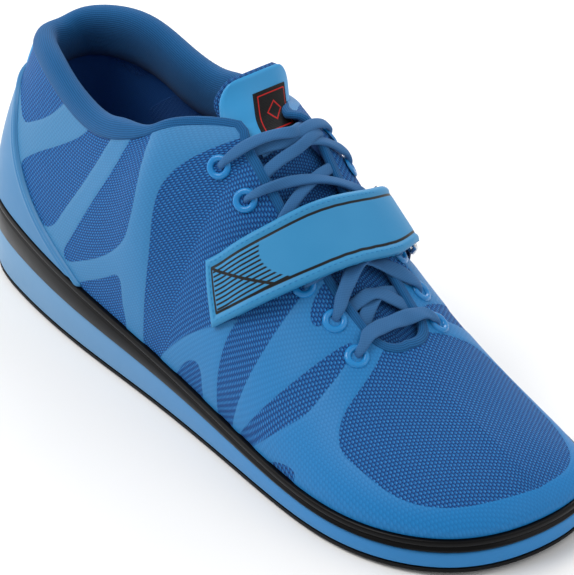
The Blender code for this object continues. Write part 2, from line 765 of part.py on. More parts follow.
def make_tongue(look):
    """The padded tongue, narrow where the collar's corners pass beside it."""
    share = np.linspace(-1, 1, TONGUE_ACROSS + 1)
    rows_outer = []
    rows_inner = []
    places = Spline(np.arange(len(TONGUE)), np.array(TONGUE))(np.linspace(0, len(TONGUE) - 1, TONGUE_RINGS))
    for place, half_width, thick, radius, sink, shift in places:
        out = -TONGUE_CLEARANCE - sink
        tighter = half_width * (1 - thick / radius * np.clip(-place / ARC_BLEND, 0, 1))
        rows_outer.append(tongue_row(place, half_width * share, out, radius, shift))
        rows_inner.append(tongue_row(place, tighter * share, out - thick, radius - thick, shift))
    outer = np.array(rows_outer)
    inner = np.array(rows_inner)
    middle = (outer[:, [0, -1]] + inner[:, [0, -1]]) / 2
    loop = np.concatenate([outer, middle[:, 1:], inner[:, ::-1], middle[:, :1], outer[:, :1]], axis=1)
    bm = bmesh.new()
    rings = [[bm.verts.new(p) for p in row[:-1]] for row in loop]
    count = len(rings[0])
    for low, high in zip(rings, rings[1:]):
        for i in range(count):
            k = (i + 1) % count
            bm.faces.new((low[i], low[k], high[k], high[i]))
    across = TONGUE_ACROSS + 1
    for ring in (rings[0], rings[-1]):
        top = ring[:across]
        back = [ring[across + 1 + i] for i in range(across)][::-1]
        bm.faces.new((top[0], back[0], ring[-1]))
        bm.faces.new((top[-1], ring[across], back[-1]))
        for i in range(across - 1):
            bm.faces.new((top[i], top[i + 1], back[i + 1], back[i]))
    return finish("tongue", bm, look)


def make_label(look):
    """The small label on the tongue's top."""
    want = np.linspace(*LABEL_ACROSS, 5)
    table = np.array(TONGUE[TONGUE_TOP_ROW:])
    low = []
    high = []
    for place in np.linspace(*LABEL_PLACES, 6):
        radius, sink, shift = [np.interp(-place, -table[:, 0], table[:, k]) for k in (3, 4, 5)]
        out = -TONGUE_CLEARANCE - sink
        low.append(tongue_row(place, want, out + LABEL_LOW, radius + LABEL_LOW, shift))
        high.append(tongue_row(place, want, out + LABEL_HIGH, radius + LABEL_HIGH, shift))
    return shell("tongue_label", np.array(low), np.array(high), look)


def both_sides(s, rise):
    """Sides, stations and rises around the heel, from the medial end to the lateral one."""
    sides = np.concatenate([np.full(len(s) - 1, MEDIAL), np.full(len(s), LATERAL)])
    return sides, np.concatenate([s[:0:-1], s]), np.concatenate([rise[:, :0:-1], rise], axis=1)


def heel_shell(name, s, rise, low, high, look):
    """A shell around the heel at two distances out from the upper."""
    sides, station, rise = both_sides(s, rise)
    surfaces = []
    for out in (low, high):
        columns = [LAST.at(side, place, rise[:, k], out) for k, (side, place) in enumerate(zip(sides, station))]
        surfaces.append(np.stack(columns, axis=1))
    return shell(name, surfaces[0], surfaces[1], look)


def make_counter(look):
    """The heel counter, which runs down to the sole at both ends."""
    edge = np.array(COUNTER_EDGE)
    s = stations(STATIONS_PER_SIDE + 1)
    s = np.append(s[s < edge[-1, 0] - 0.01], edge[-1, 0])
    top = Spline(edge[:, 0], edge[:, 1])(s)[:, 0]
    rise = np.linspace(FILM_START, top, FILM_ROWS)
    return heel_shell("heel_counter", s, rise, COUNTER_LOW, COUNTER_HIGH, look)


def make_toe_guard(look):
    """The film guard around the toe."""
    edge = np.array(TOE_GUARD_EDGE)
    s = stations(STATIONS_PER_SIDE + 1)
    s = np.concatenate([[edge[0, 0]], s[s > edge[0, 0] + 0.008]])
    sides = np.concatenate([np.full(len(s), LATERAL), np.full(len(s) - 1, MEDIAL)])
    station = np.concatenate([s, s[-2::-1]])
    high = Spline(edge[:, 0], edge[:, 1:])(s)
    top = np.concatenate([high[:, 0], high[-2::-1, 1]])
    surfaces = []
    for out in (GUARD_LOW, GUARD_HIGH):
        columns = [
            LAST.at(side, place, np.linspace(FILM_START, rise, FILM_ROWS), out)
            for side, place, rise in zip(sides, station, top)
        ]
        surfaces.append(np.stack(columns, axis=1))
    return shell("toe_guard", surfaces[0], surfaces[1], look)


def make_heel_tab(look):
    """The small tab over the heel's seam, with its corners rounded."""
    corners = np.array(TAB_CORNERS)
    count = len(corners)
    s = np.linspace(0, TAB_HALF_STATIONS, count)
    rise = np.linspace(np.full(count, TAB_RISES[0]), np.full(count, TAB_RISES[1]), count)
    rise[0] += corners
    rise[-1] -= corners
    low = COUNTER_HIGH + TAB_GAP
    return heel_shell("heel_tab", s, rise, low, low + TAB_THICKNESS, look)


def make_collar(look):
    """The padded roll around the ankle, which narrows to a binding along the throat's edge."""
    s = stations(STATIONS_PER_SIDE + 1)
    s = s[s <= THROAT_END]
    edge = {side: LAST.opening(side, s) for side in (LATERAL, MEDIAL)}
    sides = np.concatenate([np.full(len(s), LATERAL), np.full(len(s) - 2, MEDIAL)])
    station = np.concatenate([s, s[-2:0:-1]])
    top = np.concatenate([edge[LATERAL], edge[MEDIAL][-2:0:-1]])
    base = np.array([LAST.surface(side, a, b) for side, a, b in zip(sides, station, top)])
    before = np.array([LAST.surface(side, a, b - 0.02) for side, a, b in zip(sides, station, top)])
    front = len(s) - 1
    before[front] = LAST.ridge(THROAT_END + 0.02)
    normal = np.array([LAST.normal(side, a, b) for side, a, b in zip(sides, station, top)])
    length = np.linalg.norm(base - before, axis=1) / 0.02
    pad = np.clip((PAD_ENDS[1] - station) / (PAD_ENDS[1] - PAD_ENDS[0]), 0, 1)
    pad = pad * pad * (3 - 2 * pad)
    lines = []
    for thick, thin in zip(COLLAR_SECTION, BINDING_SECTION):
        out = pad * thick[0] + (1 - pad) * thin[0]
        along = pad * thick[1] + (1 - pad) * thin[1]
        edge_line = base + out[:, None] * normal
        tangent = np.roll(edge_line, -1, axis=0) - np.roll(edge_line, 1, axis=0)
        past = np.cross(normal, tangent)
        past *= (np.sign(((base - before) * past).sum(axis=1)) / np.linalg.norm(past, axis=1))[:, None]
        line = edge_line + along[:, None] * past
        for i in np.nonzero(along < 0)[0]:
            line[i] = LAST.at(sides[i], station[i], top[i] + along[i] / length[i], out[i])
        lines.append(line)
    rings = np.stack(lines, axis=1)
    return ring_solid("collar", rings, look)


def eyelet_places():
    """Name, surface point and outward normal of each eyelet."""
    for number, (s_lateral, v_lateral, s_medial, v_medial) in enumerate(EYELETS, 1):
        yield f"eyelet_lateral_{number}", LATERAL, s_lateral, v_lateral
        yield f"eyelet_medial_{number}", MEDIAL, s_medial, v_medial


def stand(bm, centre, axis):
    """Turn a body made along Z to an axis, and move it to its centre."""
    turn = Vector((0, 0, 1)).rotation_difference(Vector(axis)).to_matrix().to_4x4()
    bmesh.ops.transform(bm, matrix=Matrix.Translation(Vector(centre)) @ turn, verts=bm.verts)


def turned(name, section, sides, centre, axis, look):
    """A closed profile of (radius, height) spun about an axis."""
    bm = bmesh.new()
    verts = [bm.verts.new((radius, 0, height)) for radius, height in section]
    edges = [bm.edges.new((a, b)) for a, b in zip(verts, verts[1:] + verts[:1])]
    bmesh.ops.spin(
        bm,
        geom=verts + edges,
        cent=(0, 0, 0),
        axis=(0, 0, 1),
        angle=2 * math.pi,
        steps=sides,
        use_merge=True,
    )
    stand(bm, centre, axis)
    return finish(name, bm, look)


def make_eyelets(upper, look):
    """The eyelet rings, and the holes that they sit in."""
    for name, side, s, v in eyelet_places():
        centre = LAST.surface(side, s, v)
        axis = LAST.normal(side, s, v)
        turned(name, EYELET_SECTION, EYELET_SIDES, centre, axis, look)
        bm = bmesh.new()
        bmesh.ops.create_cone(
            bm,
            cap_ends=True,
            segments=EYELET_SIDES,
            radius1=EYELET_HOLE_RADIUS,
            radius2=EYELET_HOLE_RADIUS,
            depth=4 * WALL,
        )
        stand(bm, centre, axis)
        cutter = finish(name + "_hole", bm, look)
        cutter.hide_render = True
        cutter.display_type = "WIRE"
        cut = upper.modifiers.new("hole", "BOOLEAN")
        cut.operation = "DIFFERENCE"
        cut.object = cutter


def lace_bar(name, start, end, lift, look):
    """A flat length of lace over the throat between two places given as (station, rise over both sides)."""
    t = np.linspace(0, 1, LACE_STEPS + 1)
    s = start[0] + (end[0] - start[0]) * t
    w = start[1] + (end[1] - start[1]) * t
    out = lift - LACE_DIP * np.clip(1 - ((t - 0.5) / LACE_DIP_REACH) ** 2, 0, 1)
    line = over(s, w, out)
    normal = over(s, w, out + 1.0) - line
    along = np.gradient(line, axis=0)
    across = np.cross(along, normal)
    across *= LACE_WIDTH / 2 / np.linalg.norm(across, axis=1)[:, None]
    low = np.stack([line - across, line + across], axis=1)
    return shell(name, low, low + LACE_THICKNESS * normal[:, None, :], look)


def make_laces(look):
    """One lace: a bar over the lowest eyelets, a cross between each pair of rows, and the tucked ends."""
    lateral = [(row[0], row[1]) for row in EYELETS]
    medial = [(row[2], 2 - row[3]) for row in EYELETS]
    bars = [(lateral[-1], medial[-1], LACE_LEVELS[1][0])]
    for row in range(len(EYELETS) - 1, 0, -1):
        first, second = LACE_LEVELS[(len(EYELETS) - 1 - row) % 2]
        bars.append((lateral[row], medial[row - 1], first))
        bars.append((medial[row], lateral[row - 1], second))
    first, second = LACE_LEVELS[(len(EYELETS) - 1) % 2]
    bars.append((lateral[0], TUCK_MEDIAL, first))
    bars.append((medial[0], TUCK_LATERAL, second + LACE_THICKNESS / 2))
    laces = lace_bar("laces", *bars[0], look)
    for number, bar in enumerate(bars[1:], 1):
        other = lace_bar(f"lace_bar_{number}", *bar, look)
        other.hide_render = True
        other.display_type = "WIRE"
        join = laces.modifiers.new("join", "BOOLEAN")
        join.operation = "UNION"
        join.object = other
    return laces


STRAP_LINES = Spline(np.array(STRAP)[:, 0], np.array(STRAP)[:, 1:])


def strap_point(place, x, out):
    """A point of the strap's band: place along it, x across it from its top edge (0) to its low edge (1)."""
    top_s, top_w, low_s, low_w = STRAP_LINES(place)[0, :4]
    followed = over(top_s + (low_s - top_s) * x, top_w + (low_w - top_w) * x, out)
    first = over(top_s, top_w, out)
    straight = first + (over(low_s, low_w, out) - first) * x
    blend = np.interp(place, STRAIGHT_IN + STRAIGHT_OUT, (0, 1, 1, 0))
    return (1 - blend) * followed + blend * straight


def strap_heights(place):
    """Heights of the strap's under layer and of its top layer over the upper."""
    table = np.array(STRAP)
    return np.interp(place, table[:, 0], table[:, 5]), np.interp(place, table[:, 0], table[:, 6])


def fold(place, x, centre, radius, angle):
    """A point beside a bar that lies across the strap: over it at a quarter turn, past it at no turn."""
    middle = strap_point(place, x, centre)
    out = strap_point(place, x, centre + 1.0) - middle
    along = strap_point(place + 0.02, x, centre) - strap_point(place - 0.02, x, centre)
    along = unit(along - out * along.dot(out))
    return middle + radius * (math.cos(angle) * along + math.sin(angle) * out)


def folded_band(name, xs, outer_run, inner_run, look):
    """A band that turns back on itself around a bar.

    Each step of its two faces is (place, height) or, at the bar, (place, bar height, radius, angle).
    """
    surfaces = []
    for run in (outer_run, inner_run):
        rows = []
        for place, *rest in run:
            point = strap_point if len(rest) == 1 else fold
            rows.append([point(place, x, *rest) for x in xs])
        surfaces.append(np.array(rows))
    return shell(name, surfaces[0], surfaces[1], look)


def make_strap(look):
    """The strap: its free end lies over the outer side, and at the ring it turns back under itself."""
    outer_run = []
    inner_run = []
    throat = np.linspace(*STRAP_OVER_THROAT, 9)
    for place in np.concatenate([np.linspace(0, STRAP_OVER_EYELETS, 6), throat]):
        height = strap_heights(place)[1]
        outer_run.append((place, height + STRAP_TOP_THICKNESS))
        inner_run.append((place, height))
    bar = RING_WIRE + GAP
    for share in np.linspace(0, 1, TURN_STEPS):
        angle = math.pi / 2 - math.pi * share
        thick = STRAP_TOP_THICKNESS + (STRAP_UNDER_THICKNESS - STRAP_TOP_THICKNESS) * share
        outer_run.append((RING_PLACES[0], RING_CENTRES[0], bar + thick, angle))
        inner_run.append((RING_PLACES[0], RING_CENTRES[0], bar, angle))
    for place in np.concatenate([throat[::-1], np.linspace(STRAP_OVER_EYELETS, STRAP_UNDER_END, 4)]):
        height = strap_heights(place)[0]
        outer_run.append((place, height))
        inner_run.append((place, height + STRAP_UNDER_THICKNESS))
    return folded_band("strap", np.linspace(0, 1, STRAP_ACROSS), outer_run, inner_run, look)


def make_ring(look):
    """The metal ring at the strap's inner end: a rounded oblong of wire."""
    corners = []
    for place, centre in zip(RING_PLACES, RING_CENTRES):
        for x in (-RING_OVERHANG, 1 + RING_OVERHANG):
            corners.append(strap_point(place, x, centre))
    loop = [corners[0], corners[1], corners[3], corners[2]]
    path = []
    for i in range(4):
        here = loop[i]
        first = here + unit(loop[i - 1] - here) * RING_CORNER
        last = here + unit(loop[(i + 1) % 4] - here) * RING_CORNER
        for share in RING_CORNER_SHARES:
            path.append((1 - share) ** 2 * first + 2 * share * (1 - share) * here + share**2 * last)
    path = np.array(path)
    flat = unit(np.cross(loop[1] - loop[0], loop[3] - loop[0]))
    side = unit(np.cross(np.roll(path, -1, axis=0) - np.roll(path, 1, axis=0), flat))
    turn = np.linspace(0, 2 * math.pi, RING_SIDES + 1)[:-1, None]
    rings = [point + RING_WIRE * (np.cos(turn) * away + np.sin(turn) * flat) for point, away in zip(path, side)]
    return ring_solid("strap_ring", rings, look)


def make_ring_loop(look):
    """The webbing that holds the ring to the upper's inner side."""
    outer_run = []
    inner_run = []
    for place in np.linspace(*LOOP_PLACES, 4):
        outer_run.append((place, LOOP_HEIGHT))
        inner_run.append((place, LOOP_HEIGHT + LOOP_THICKNESS))
    bar = RING_WIRE + GAP
    for share in np.linspace(0, 1, TURN_STEPS):
        angle = -math.pi / 2 - math.pi * share
        outer_run.append((RING_PLACES[1], RING_CENTRES[1], bar + LOOP_THICKNESS, angle))
        inner_run.append((RING_PLACES[1], RING_CENTRES[1], bar, angle))
    for place in np.linspace(*LOOP_PLACES[::-1], 4):
        height = LOOP_HEIGHT + LOOP_THICKNESS + GAP + (LOOP_PLACES[0] - place) * LOOP_SPREAD
        outer_run.append((place, height + LOOP_THICKNESS))
        inner_run.append((place, height))
    return folded_band("ring_loop", np.linspace(*LOOP_ACROSS, 3), outer_run, inner_run, look)


def main():
    """Build every piece of the shoe."""
    for thing in list(bpy.data.objects):
        bpy.data.objects.remove(thing)
    looks = {name: material(name) for name in LOOKS}
    profiled_slab("outsole", outsole_profile(), looks["black_rubber"])
    profiled_slab("midsole", midsole_profile(), looks["light_blue_foam"])
    profiled_slab("sole_band", band_profile(), looks["black_rubber"])
    profiled_slab("insole", insole_profile(), looks["navy_lining"], inset=insole_inset)
    upper = make_upper(looks["blue_mesh"])
    make_tongue(looks["blue_mesh"])
    make_label(looks["black_label"])
    make_counter(looks["light_blue_film"])
    make_heel_tab(looks["bright_blue_plastic"])
    make_toe_guard(looks["light_blue_film"])
    make_collar(looks["denim_knit"])
    make_eyelets(upper, looks["bright_blue_plastic"])
    make_laces(looks["denim_lace"])
    make_strap(looks["sky_blue_strap"])
    make_ring(looks["polished_steel"])
    make_ring_loop(looks["sky_blue_strap"])


if __name__ == "__main__":
    main()
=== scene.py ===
"""Dressed model of a right-foot weightlifting shoe, standing empty on a pale studio floor.

Sizes are in millimetres, measured along the shoe from the heel's back, with +X to the outer side and +Z up.
A piece becomes metres, measured from the middle of the sole on the floor, when its mesh is finished.
"""

import logging
import math
from dataclasses import dataclass, field
from enum import Enum, IntEnum
from typing import Callable, Optional, Sequence

import bmesh
import bpy
import numpy as np
from mathutils import Matrix, Vector


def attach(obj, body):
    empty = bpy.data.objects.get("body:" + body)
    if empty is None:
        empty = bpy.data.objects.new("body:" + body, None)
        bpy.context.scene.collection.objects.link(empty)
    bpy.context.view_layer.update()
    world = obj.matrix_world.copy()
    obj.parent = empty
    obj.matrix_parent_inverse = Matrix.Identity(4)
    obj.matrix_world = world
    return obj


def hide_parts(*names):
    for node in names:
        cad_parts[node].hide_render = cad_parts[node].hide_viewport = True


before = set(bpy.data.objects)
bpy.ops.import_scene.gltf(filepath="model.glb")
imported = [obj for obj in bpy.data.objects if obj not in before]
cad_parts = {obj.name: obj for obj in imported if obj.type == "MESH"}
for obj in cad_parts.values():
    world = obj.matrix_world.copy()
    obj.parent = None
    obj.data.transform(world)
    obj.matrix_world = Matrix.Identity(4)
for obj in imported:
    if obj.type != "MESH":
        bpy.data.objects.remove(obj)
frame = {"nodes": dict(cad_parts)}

log = logging.getLogger("shoe")

MM = 0.001
SHOE_LENGTH = 0.3
BODY = "root"
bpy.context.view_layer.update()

Array = np.ndarray
Colour = tuple[float, float, float]
Profile = Sequence[tuple[float, Callable[[Array], Array], float]]


class Side(IntEnum):
    """The two sides of the shoe, as the sign of +X."""

    LATERAL = 1
    MEDIAL = -1


class Reach(Enum):
    """How a length of lace ends: through an eyelet from above, or tucked under the upper's edge."""

    OVER = "over"
    UNDER = "under"


# Sole outline: across in percent of the ball width, along in percent of the length
OUTLINE_LATERAL = (
    (0.0, 0.0),
    (26.6, 2.7),
    (38.2, 12.7),
    (43.0, 28.1),
    (44.4, 45.2),
    (47.8, 62.6),
    (49.8, 72.0),
    (47.3, 84.9),
    (27.1, 96.3),
    (-5.8, 100.0),
)
OUTLINE_MEDIAL = (
    (0.0, 0.0),
    (-25.1, 3.0),
    (-34.8, 12.7),
    (-32.9, 28.5),
    (-33.8, 43.6),
    (-43.5, 58.6),
    (-50.2, 72.0),
    (-48.3, 85.6),
    (-34.3, 97.2),
    (-5.8, 100.0),
)

# Heights of the sole: along in percent of the length, top and bottom of the band in percent of the heel's
SOLE_HEIGHTS = (
    (0.0, 100.0, 59.3),
    (25.1, 78.3, 46.5),
    (50.3, 57.0, 36.5),
    (75.4, 40.5, 26.5),
    (100.5, 39.2, 25.0),
)

# Sections of the upper: station, across, along, height, rise, lean, reach, droop
SECTIONS_LATERAL = (
    (0.00, -2.9, 4.1, 86.5, 28.4, -0.16, 22.2, 68.0),
    (0.06, 10.0, 5.7, 87.8, 27.6, -0.13, 24.2, 70.0),
    (0.13, 21.8, 12.8, 88.9, 26.2, -0.09, 26.1, 75.0),
    (0.22, 28.0, 22.3, 83.1, 24.9, -0.02, 27.1, 75.0),
    (0.30, 30.0, 30.7, 84.4, 24.4, 0.02, 28.0, 71.0),
    (0.37, 27.1, 37.7, 93.8, 24.9, 0.04, 28.5, 60.0),
    (0.42, 17.9, 42.7, 100.4, 25.8, 0.06, 29.0, 38.0),
    (0.47, -4.8, 52.4, 100.0, 25.3, 0.09, 30.5, 14.0),
    (0.55, -4.3, 56.5, 86.2, 23.6, 0.12, 31.0, 5.0),
    (0.65, -3.9, 64.2, 68.4, 19.6, 0.14, 29.5, 2.0),
    (0.75, -3.9, 72.0, 52.0, 16.0, 0.13, 27.1, 2.0),
    (0.87, -3.4, 80.6, 40.0, 11.1, 0.11, 22.7, 2.0),
    (1.00, -3.9, 87.8, 33.8, 7.6, 0.11, 13.5, 2.0),
)
SECTIONS_MEDIAL = (
    (0.00, -2.9, 4.1, 86.5, 28.4, -0.16, 22.2, 68.0),
    (0.06, -15.5, 5.7, 88.9, 27.6, -0.13, 24.2, 70.0),
    (0.13, -26.6, 12.8, 90.3, 26.2, -0.09, 26.1, 75.0),
    (0.22, -30.5, 22.3, 84.0, 24.9, -0.02, 27.1, 75.0),
    (0.30, -31.5, 30.7, 83.0, 24.4, 0.02, 28.0, 71.0),
    (0.37, -29.0, 37.9, 91.5, 25.3, 0.04, 28.5, 60.0),
    (0.42, -22.5, 43.0, 98.0, 25.8, 0.07, 32.0, 33.0),
    (0.47, -4.8, 52.4, 100.0, 25.3, 0.10, 35.0, 7.0),
    (0.55, -4.3, 56.5, 86.2, 22.2, 0.12, 34.5, 1.0),
    (0.65, -3.9, 64.2, 68.4, 15.5, 0.12, 30.0, 1.0),
    (0.75, -3.9, 72.0, 52.0, 8.5, 0.10, 24.0, 1.0),
    (0.87, -3.4, 80.6, 40.0, 4.5, 0.09, 17.0, 1.0),
    (1.00, -3.9, 87.8, 33.8, 7.6, 0.11, 13.5, 2.0),
)

# Ridge of the instep and toe, from the top of the throat forward: across, along, height
RIDGE = (
    (-4.8, 52.4, 100.0),
    (-4.3, 57.1, 84.9),
    (-3.9, 63.8, 68.9),
    (-3.9, 70.9, 54.2),
    (-3.4, 77.4, 44.0),
    (-3.4, 83.1, 37.6),
    (-3.9, 87.8, 33.8),
)

# Windows of bare mesh in the film, as places (station, rise) on one side
QUARTER_WINDOWS = (
    (
        (-0.03, 0.84), (0.05, 0.78), (0.098, 0.69), (0.133, 0.58), (0.147, 0.66), (0.170, 0.80),
        (0.205, 1.06), (-0.03, 1.06),
    ),
    (
        (0.155, 0.34), (0.188, 0.61), (0.220, 0.81), (0.256, 0.98), (0.262, 1.06), (0.309, 1.06),
        (0.302, 0.97), (0.283, 0.67), (0.255, 0.23), (0.230, 0.13), (0.190, 0.24),
    ),
    (
        (0.342, 1.06), (0.374, 1.06), (0.381, 0.95), (0.390, 0.81), (0.398, 0.62), (0.394, 0.47),
        (0.383, 0.41), (0.280, 0.06), (0.275, 0.13), (0.289, 0.26), (0.318, 0.68), (0.333, 0.86),
    ),
    ((0.296, -0.06), (0.306, 0.02), (0.386, 0.28), (0.389, 0.14), (0.398, -0.06)),
    (
        (0.424, -0.06), (0.451, -0.06), (0.456, 0.02), (0.492, 0.18), (0.522, 0.28), (0.547, 0.36),
        (0.573, 0.46), (0.600, 0.66), (0.612, 1.06), (0.470, 1.06), (0.454, 0.90), (0.444, 0.84),
        (0.432, 0.78), (0.425, 0.72), (0.422, 0.65), (0.424, 0.55), (0.428, 0.42), (0.429, 0.29),
        (0.427, 0.11),
    ),
    ((0.476, -0.06), (0.500, 0.10), (0.520, 0.155), (0.532, 0.13), (0.536, -0.06)),
    (
        (0.562, -0.06), (0.558, 0.23), (0.560, 0.36), (0.575, 0.50), (0.632, 0.78), (0.616, 0.47),
        (0.604, 0.28), (0.584, -0.06),
    ),
    (
        (0.592, -0.06), (0.662, 0.43), (0.702, 0.73), (0.714, 0.78), (0.716, 0.66), (0.696, 0.39),
        (0.678, 0.29), (0.614, -0.06),
    ),
    ((0.642, 0.70), (0.660, 0.66), (0.672, 0.74), (0.684, 1.06), (0.645, 1.06)),
    ((0.645, -0.06), (0.664, 0.05), (0.702, 0.11), (0.690, -0.06)),
)
VAMP_WINDOW = {
    Side.LATERAL: (
        (0.748, 1.08), (0.754, 0.88), (0.752, 0.75), (0.744, 0.62), (0.738, 0.51), (0.740, 0.43),
        (0.750, 0.35), (0.784, 0.33), (0.812, 0.29), (0.845, 0.26), (0.892, 0.28), (0.934, 0.32),
        (0.982, 0.34), (1.03, 0.34), (1.03, 1.08),
    ),
    Side.MEDIAL: (
        (0.748, 1.08), (0.756, 0.86), (0.744, 0.72), (0.738, 0.61), (0.732, 0.50), (0.738, 0.41),
        (0.756, 0.33), (0.800, 0.29), (0.850, 0.26), (0.892, 0.27), (0.926, 0.28), (0.956, 0.30),
        (0.982, 0.33), (1.03, 0.34), (1.03, 1.08),
    ),
}

# Heel counter's edge: station, rise
COUNTER_EDGE = (
    (0.00, 0.80),
    (0.05, 0.77),
    (0.095, 0.67),
    (0.130, 0.48),
    (0.160, 0.35),
    (0.210, 0.20),
    (0.250, 0.12),
    (0.285, 0.06),
    (0.310, 0.015),
)

# Collar roll at the ankle and binding along the throat: out of the upper's surface, past its edge
COLLAR_SECTION = (
    (0.25, -0.6),
    (1.1, 2.6),
    (-0.6, 7.0),
    (-5.2, 7.6),
    (-8.4, 2.5),
    (-8.2, -8.0),
    (-5.6, -19.0),
    (-2.6, -22.0),
    (-1.9, -0.6),
)
BINDING_SECTION = (
    (0.2, -1.2),
    (0.75, 0.2),
    (0.7, 1.8),
    (-0.2, 2.7),
    (-1.2, 2.7),
    (-1.9, 2.2),
    (-2.2, 1.2),
    (-2.1, 0.2),
    (-1.7, -0.8),
)

# Tongue: ridge place, half width, thickness, radius across, sink under the flaps, shift to the outer side
TONGUE = (
    (0.66, 18.0, 3.0, 60.0, 0.0, 0.0),
    (0.55, 22.0, 4.0, 50.0, 0.0, 0.0),
    (0.40, 25.0, 5.0, 42.0, 0.0, 0.0),
    (0.25, 27.0, 5.5, 36.0, 0.0, 0.0),
    (0.12, 25.0, 5.0, 32.0, 1.2, 0.0),
    (0.00, 20.0, 4.5, 27.0, 4.8, 2.0),
    (-0.08, 17.5, 4.5, 25.0, 9.2, 1.0),
    (-0.13, 18.0, 4.5, 25.0, 10.4, -0.8),
    (-0.18, 19.5, 4.5, 26.0, 10.8, -2.6),
    (-0.23, 19.0, 4.5, 27.0, 10.2, -3.5),
    (-0.275, 12.0, 4.0, 30.0, 9.0, -3.2),
)

# Eyelets from the top of the throat down: lateral station and rise, medial station and rise
EYELETS = (
    (0.456, 0.74, 0.488, 0.70),
    (0.506, 0.71, 0.524, 0.70),
    (0.564, 0.72, 0.578, 0.70),
    (0.624, 0.74, 0.630, 0.70),
    (0.678, 0.76, 0.680, 0.70),
    (0.724, 0.74, 0.726, 0.71),
)

# Strap: place, top station, top rise, low station, low rise, height of the under layer, of the top layer
STRAP = (
    (0.00, 0.500, 0.47, 0.540, 0.33, 0.5, 0.8),
    (0.12, 0.518, 0.55, 0.564, 0.43, 0.7, 2.0),
    (0.22, 0.531, 0.63, 0.585, 0.52, 3.2, 4.5),
    (0.30, 0.541, 0.69, 0.600, 0.59, 4.4, 5.7),
    (0.45, 0.556, 0.81, 0.625, 0.73, 4.5, 5.8),
    (0.60, 0.569, 0.93, 0.649, 0.88, 4.5, 5.8),
    (0.72, 0.578, 1.06, 0.664, 1.04, 4.9, 6.1),
    (0.85, 0.570, 1.19, 0.651, 1.20, 5.0, 6.4),
    (0.94, 0.558, 1.30, 0.629, 1.32, 4.7, 6.8),
    (1.00, 0.545, 1.37, 0.611, 1.40, 3.4, 6.9),
    (1.10, 0.537, 1.46, 0.598, 1.49, 0.6, 2.0),
    (1.30, 0.525, 1.61, 0.584, 1.66, 0.6, 1.6),
)


def smoothstep(low: float, high: float, x: Array) -> Array:
    """A smooth climb from 0 at low to 1 at high."""
    t = np.clip((x - low) / (high - low), 0.0, 1.0)
    return t * t * (3 - 2 * t)


def hump(x: Array, middle: float, width: float) -> Array:
    """A rounded bump of height 1 at a middle."""
    return np.exp(-(((x - middle) / width) ** 2))


def unit(vectors: Array) -> Array:
    """Vectors scaled to length 1 along their last axis."""
    return vectors / np.linalg.norm(vectors, axis=-1, keepdims=True)


def wrapped(points: Array, rows: bool = True) -> Array:
    """A grid with its first column, and if wanted its first row, repeated at the end for welding."""
    if rows:
        points = np.concatenate([points, points[:1]], axis=0)
    return np.concatenate([points, points[:, :1]], axis=1)


def lengths_along(line: Array) -> Array:
    """Distance from a line's start to each of its points."""
    return np.concatenate([[0], np.cumsum(np.linalg.norm(np.diff(line, axis=0), axis=1))])


def read_line(at: Array, run: Array, line: Array) -> Array:
    """Rows of a line at given places, where run has each row's place."""
    return np.stack([np.interp(at, run, line[:, k]) for k in range(line.shape[1])], axis=-1)


def cloth_places(grid: Array, middle: Array) -> tuple[Array, Array]:
    """Distances over a grid of points: along its middle line, one for each row, and across every row."""
    along = np.cumsum(np.linalg.norm(np.diff(middle, axis=0, prepend=middle[:1]), axis=-1))
    across = np.cumsum(np.linalg.norm(np.diff(grid, axis=1, prepend=grid[:, :1]), axis=-1), axis=1)
    return along[:, None] + 0 * across, across


def softened(
    corners: Sequence[tuple[float, float]], scale: Array, reach: float = 6.0, steps: int = 5
) -> Array:
    """A closed outline in millimetres with its corners rounded.

    Args:
        corners: The outline's corners in its own units.
        scale: Millimetres for one unit each way.
        reach: How far from a corner its rounding may start.
        steps: Points of each rounding.

    Returns:
        The outline's points.
    """
    points = np.array(corners, float) * scale
    before, after = np.roll(points, 1, axis=0) - points, np.roll(points, -1, axis=0) - points
    shares = [np.minimum(reach / np.linalg.norm(way, axis=1), 0.5)[:, None] for way in (before, after)]
    first, last = points + before * shares[0], points + after * shares[1]
    t = np.linspace(0, 1, steps)[None, :, None]
    curve = (1 - t) ** 2 * first[:, None] + 2 * t * (1 - t) * points[:, None] + t**2 * last[:, None]
    return curve.reshape(-1, 2)


def depth_inside(points: Array, outline: Array) -> Array:
    """How far points lie inside a closed outline, negative outside it.

    Args:
        points: Points of any shape ending in 2.
        outline: Corners of the outline.

    Returns:
        The signed distances, in the shape of the points.
    """
    flat = points.reshape(-1, 2)
    nearest = np.full(len(flat), np.inf)
    inside = np.zeros(len(flat), bool)
    for a, b in zip(outline, np.roll(outline, -1, axis=0)):
        run = b - a
        along = np.clip(((flat - a) @ run) / max(run @ run, 1e-9), 0, 1)
        nearest = np.minimum(nearest, np.linalg.norm(flat - a - along[:, None] * run, axis=1))
        crosses = (a[1] > flat[:, 1]) != (b[1] > flat[:, 1])
        rise = b[1] - a[1] if b[1] != a[1] else 1e-9
        inside ^= crosses & (flat[:, 0] < (flat[:, 1] - a[1]) * run[0] / rise + a[0])
    return np.where(inside, nearest, -nearest).reshape(points.shape[:-1])


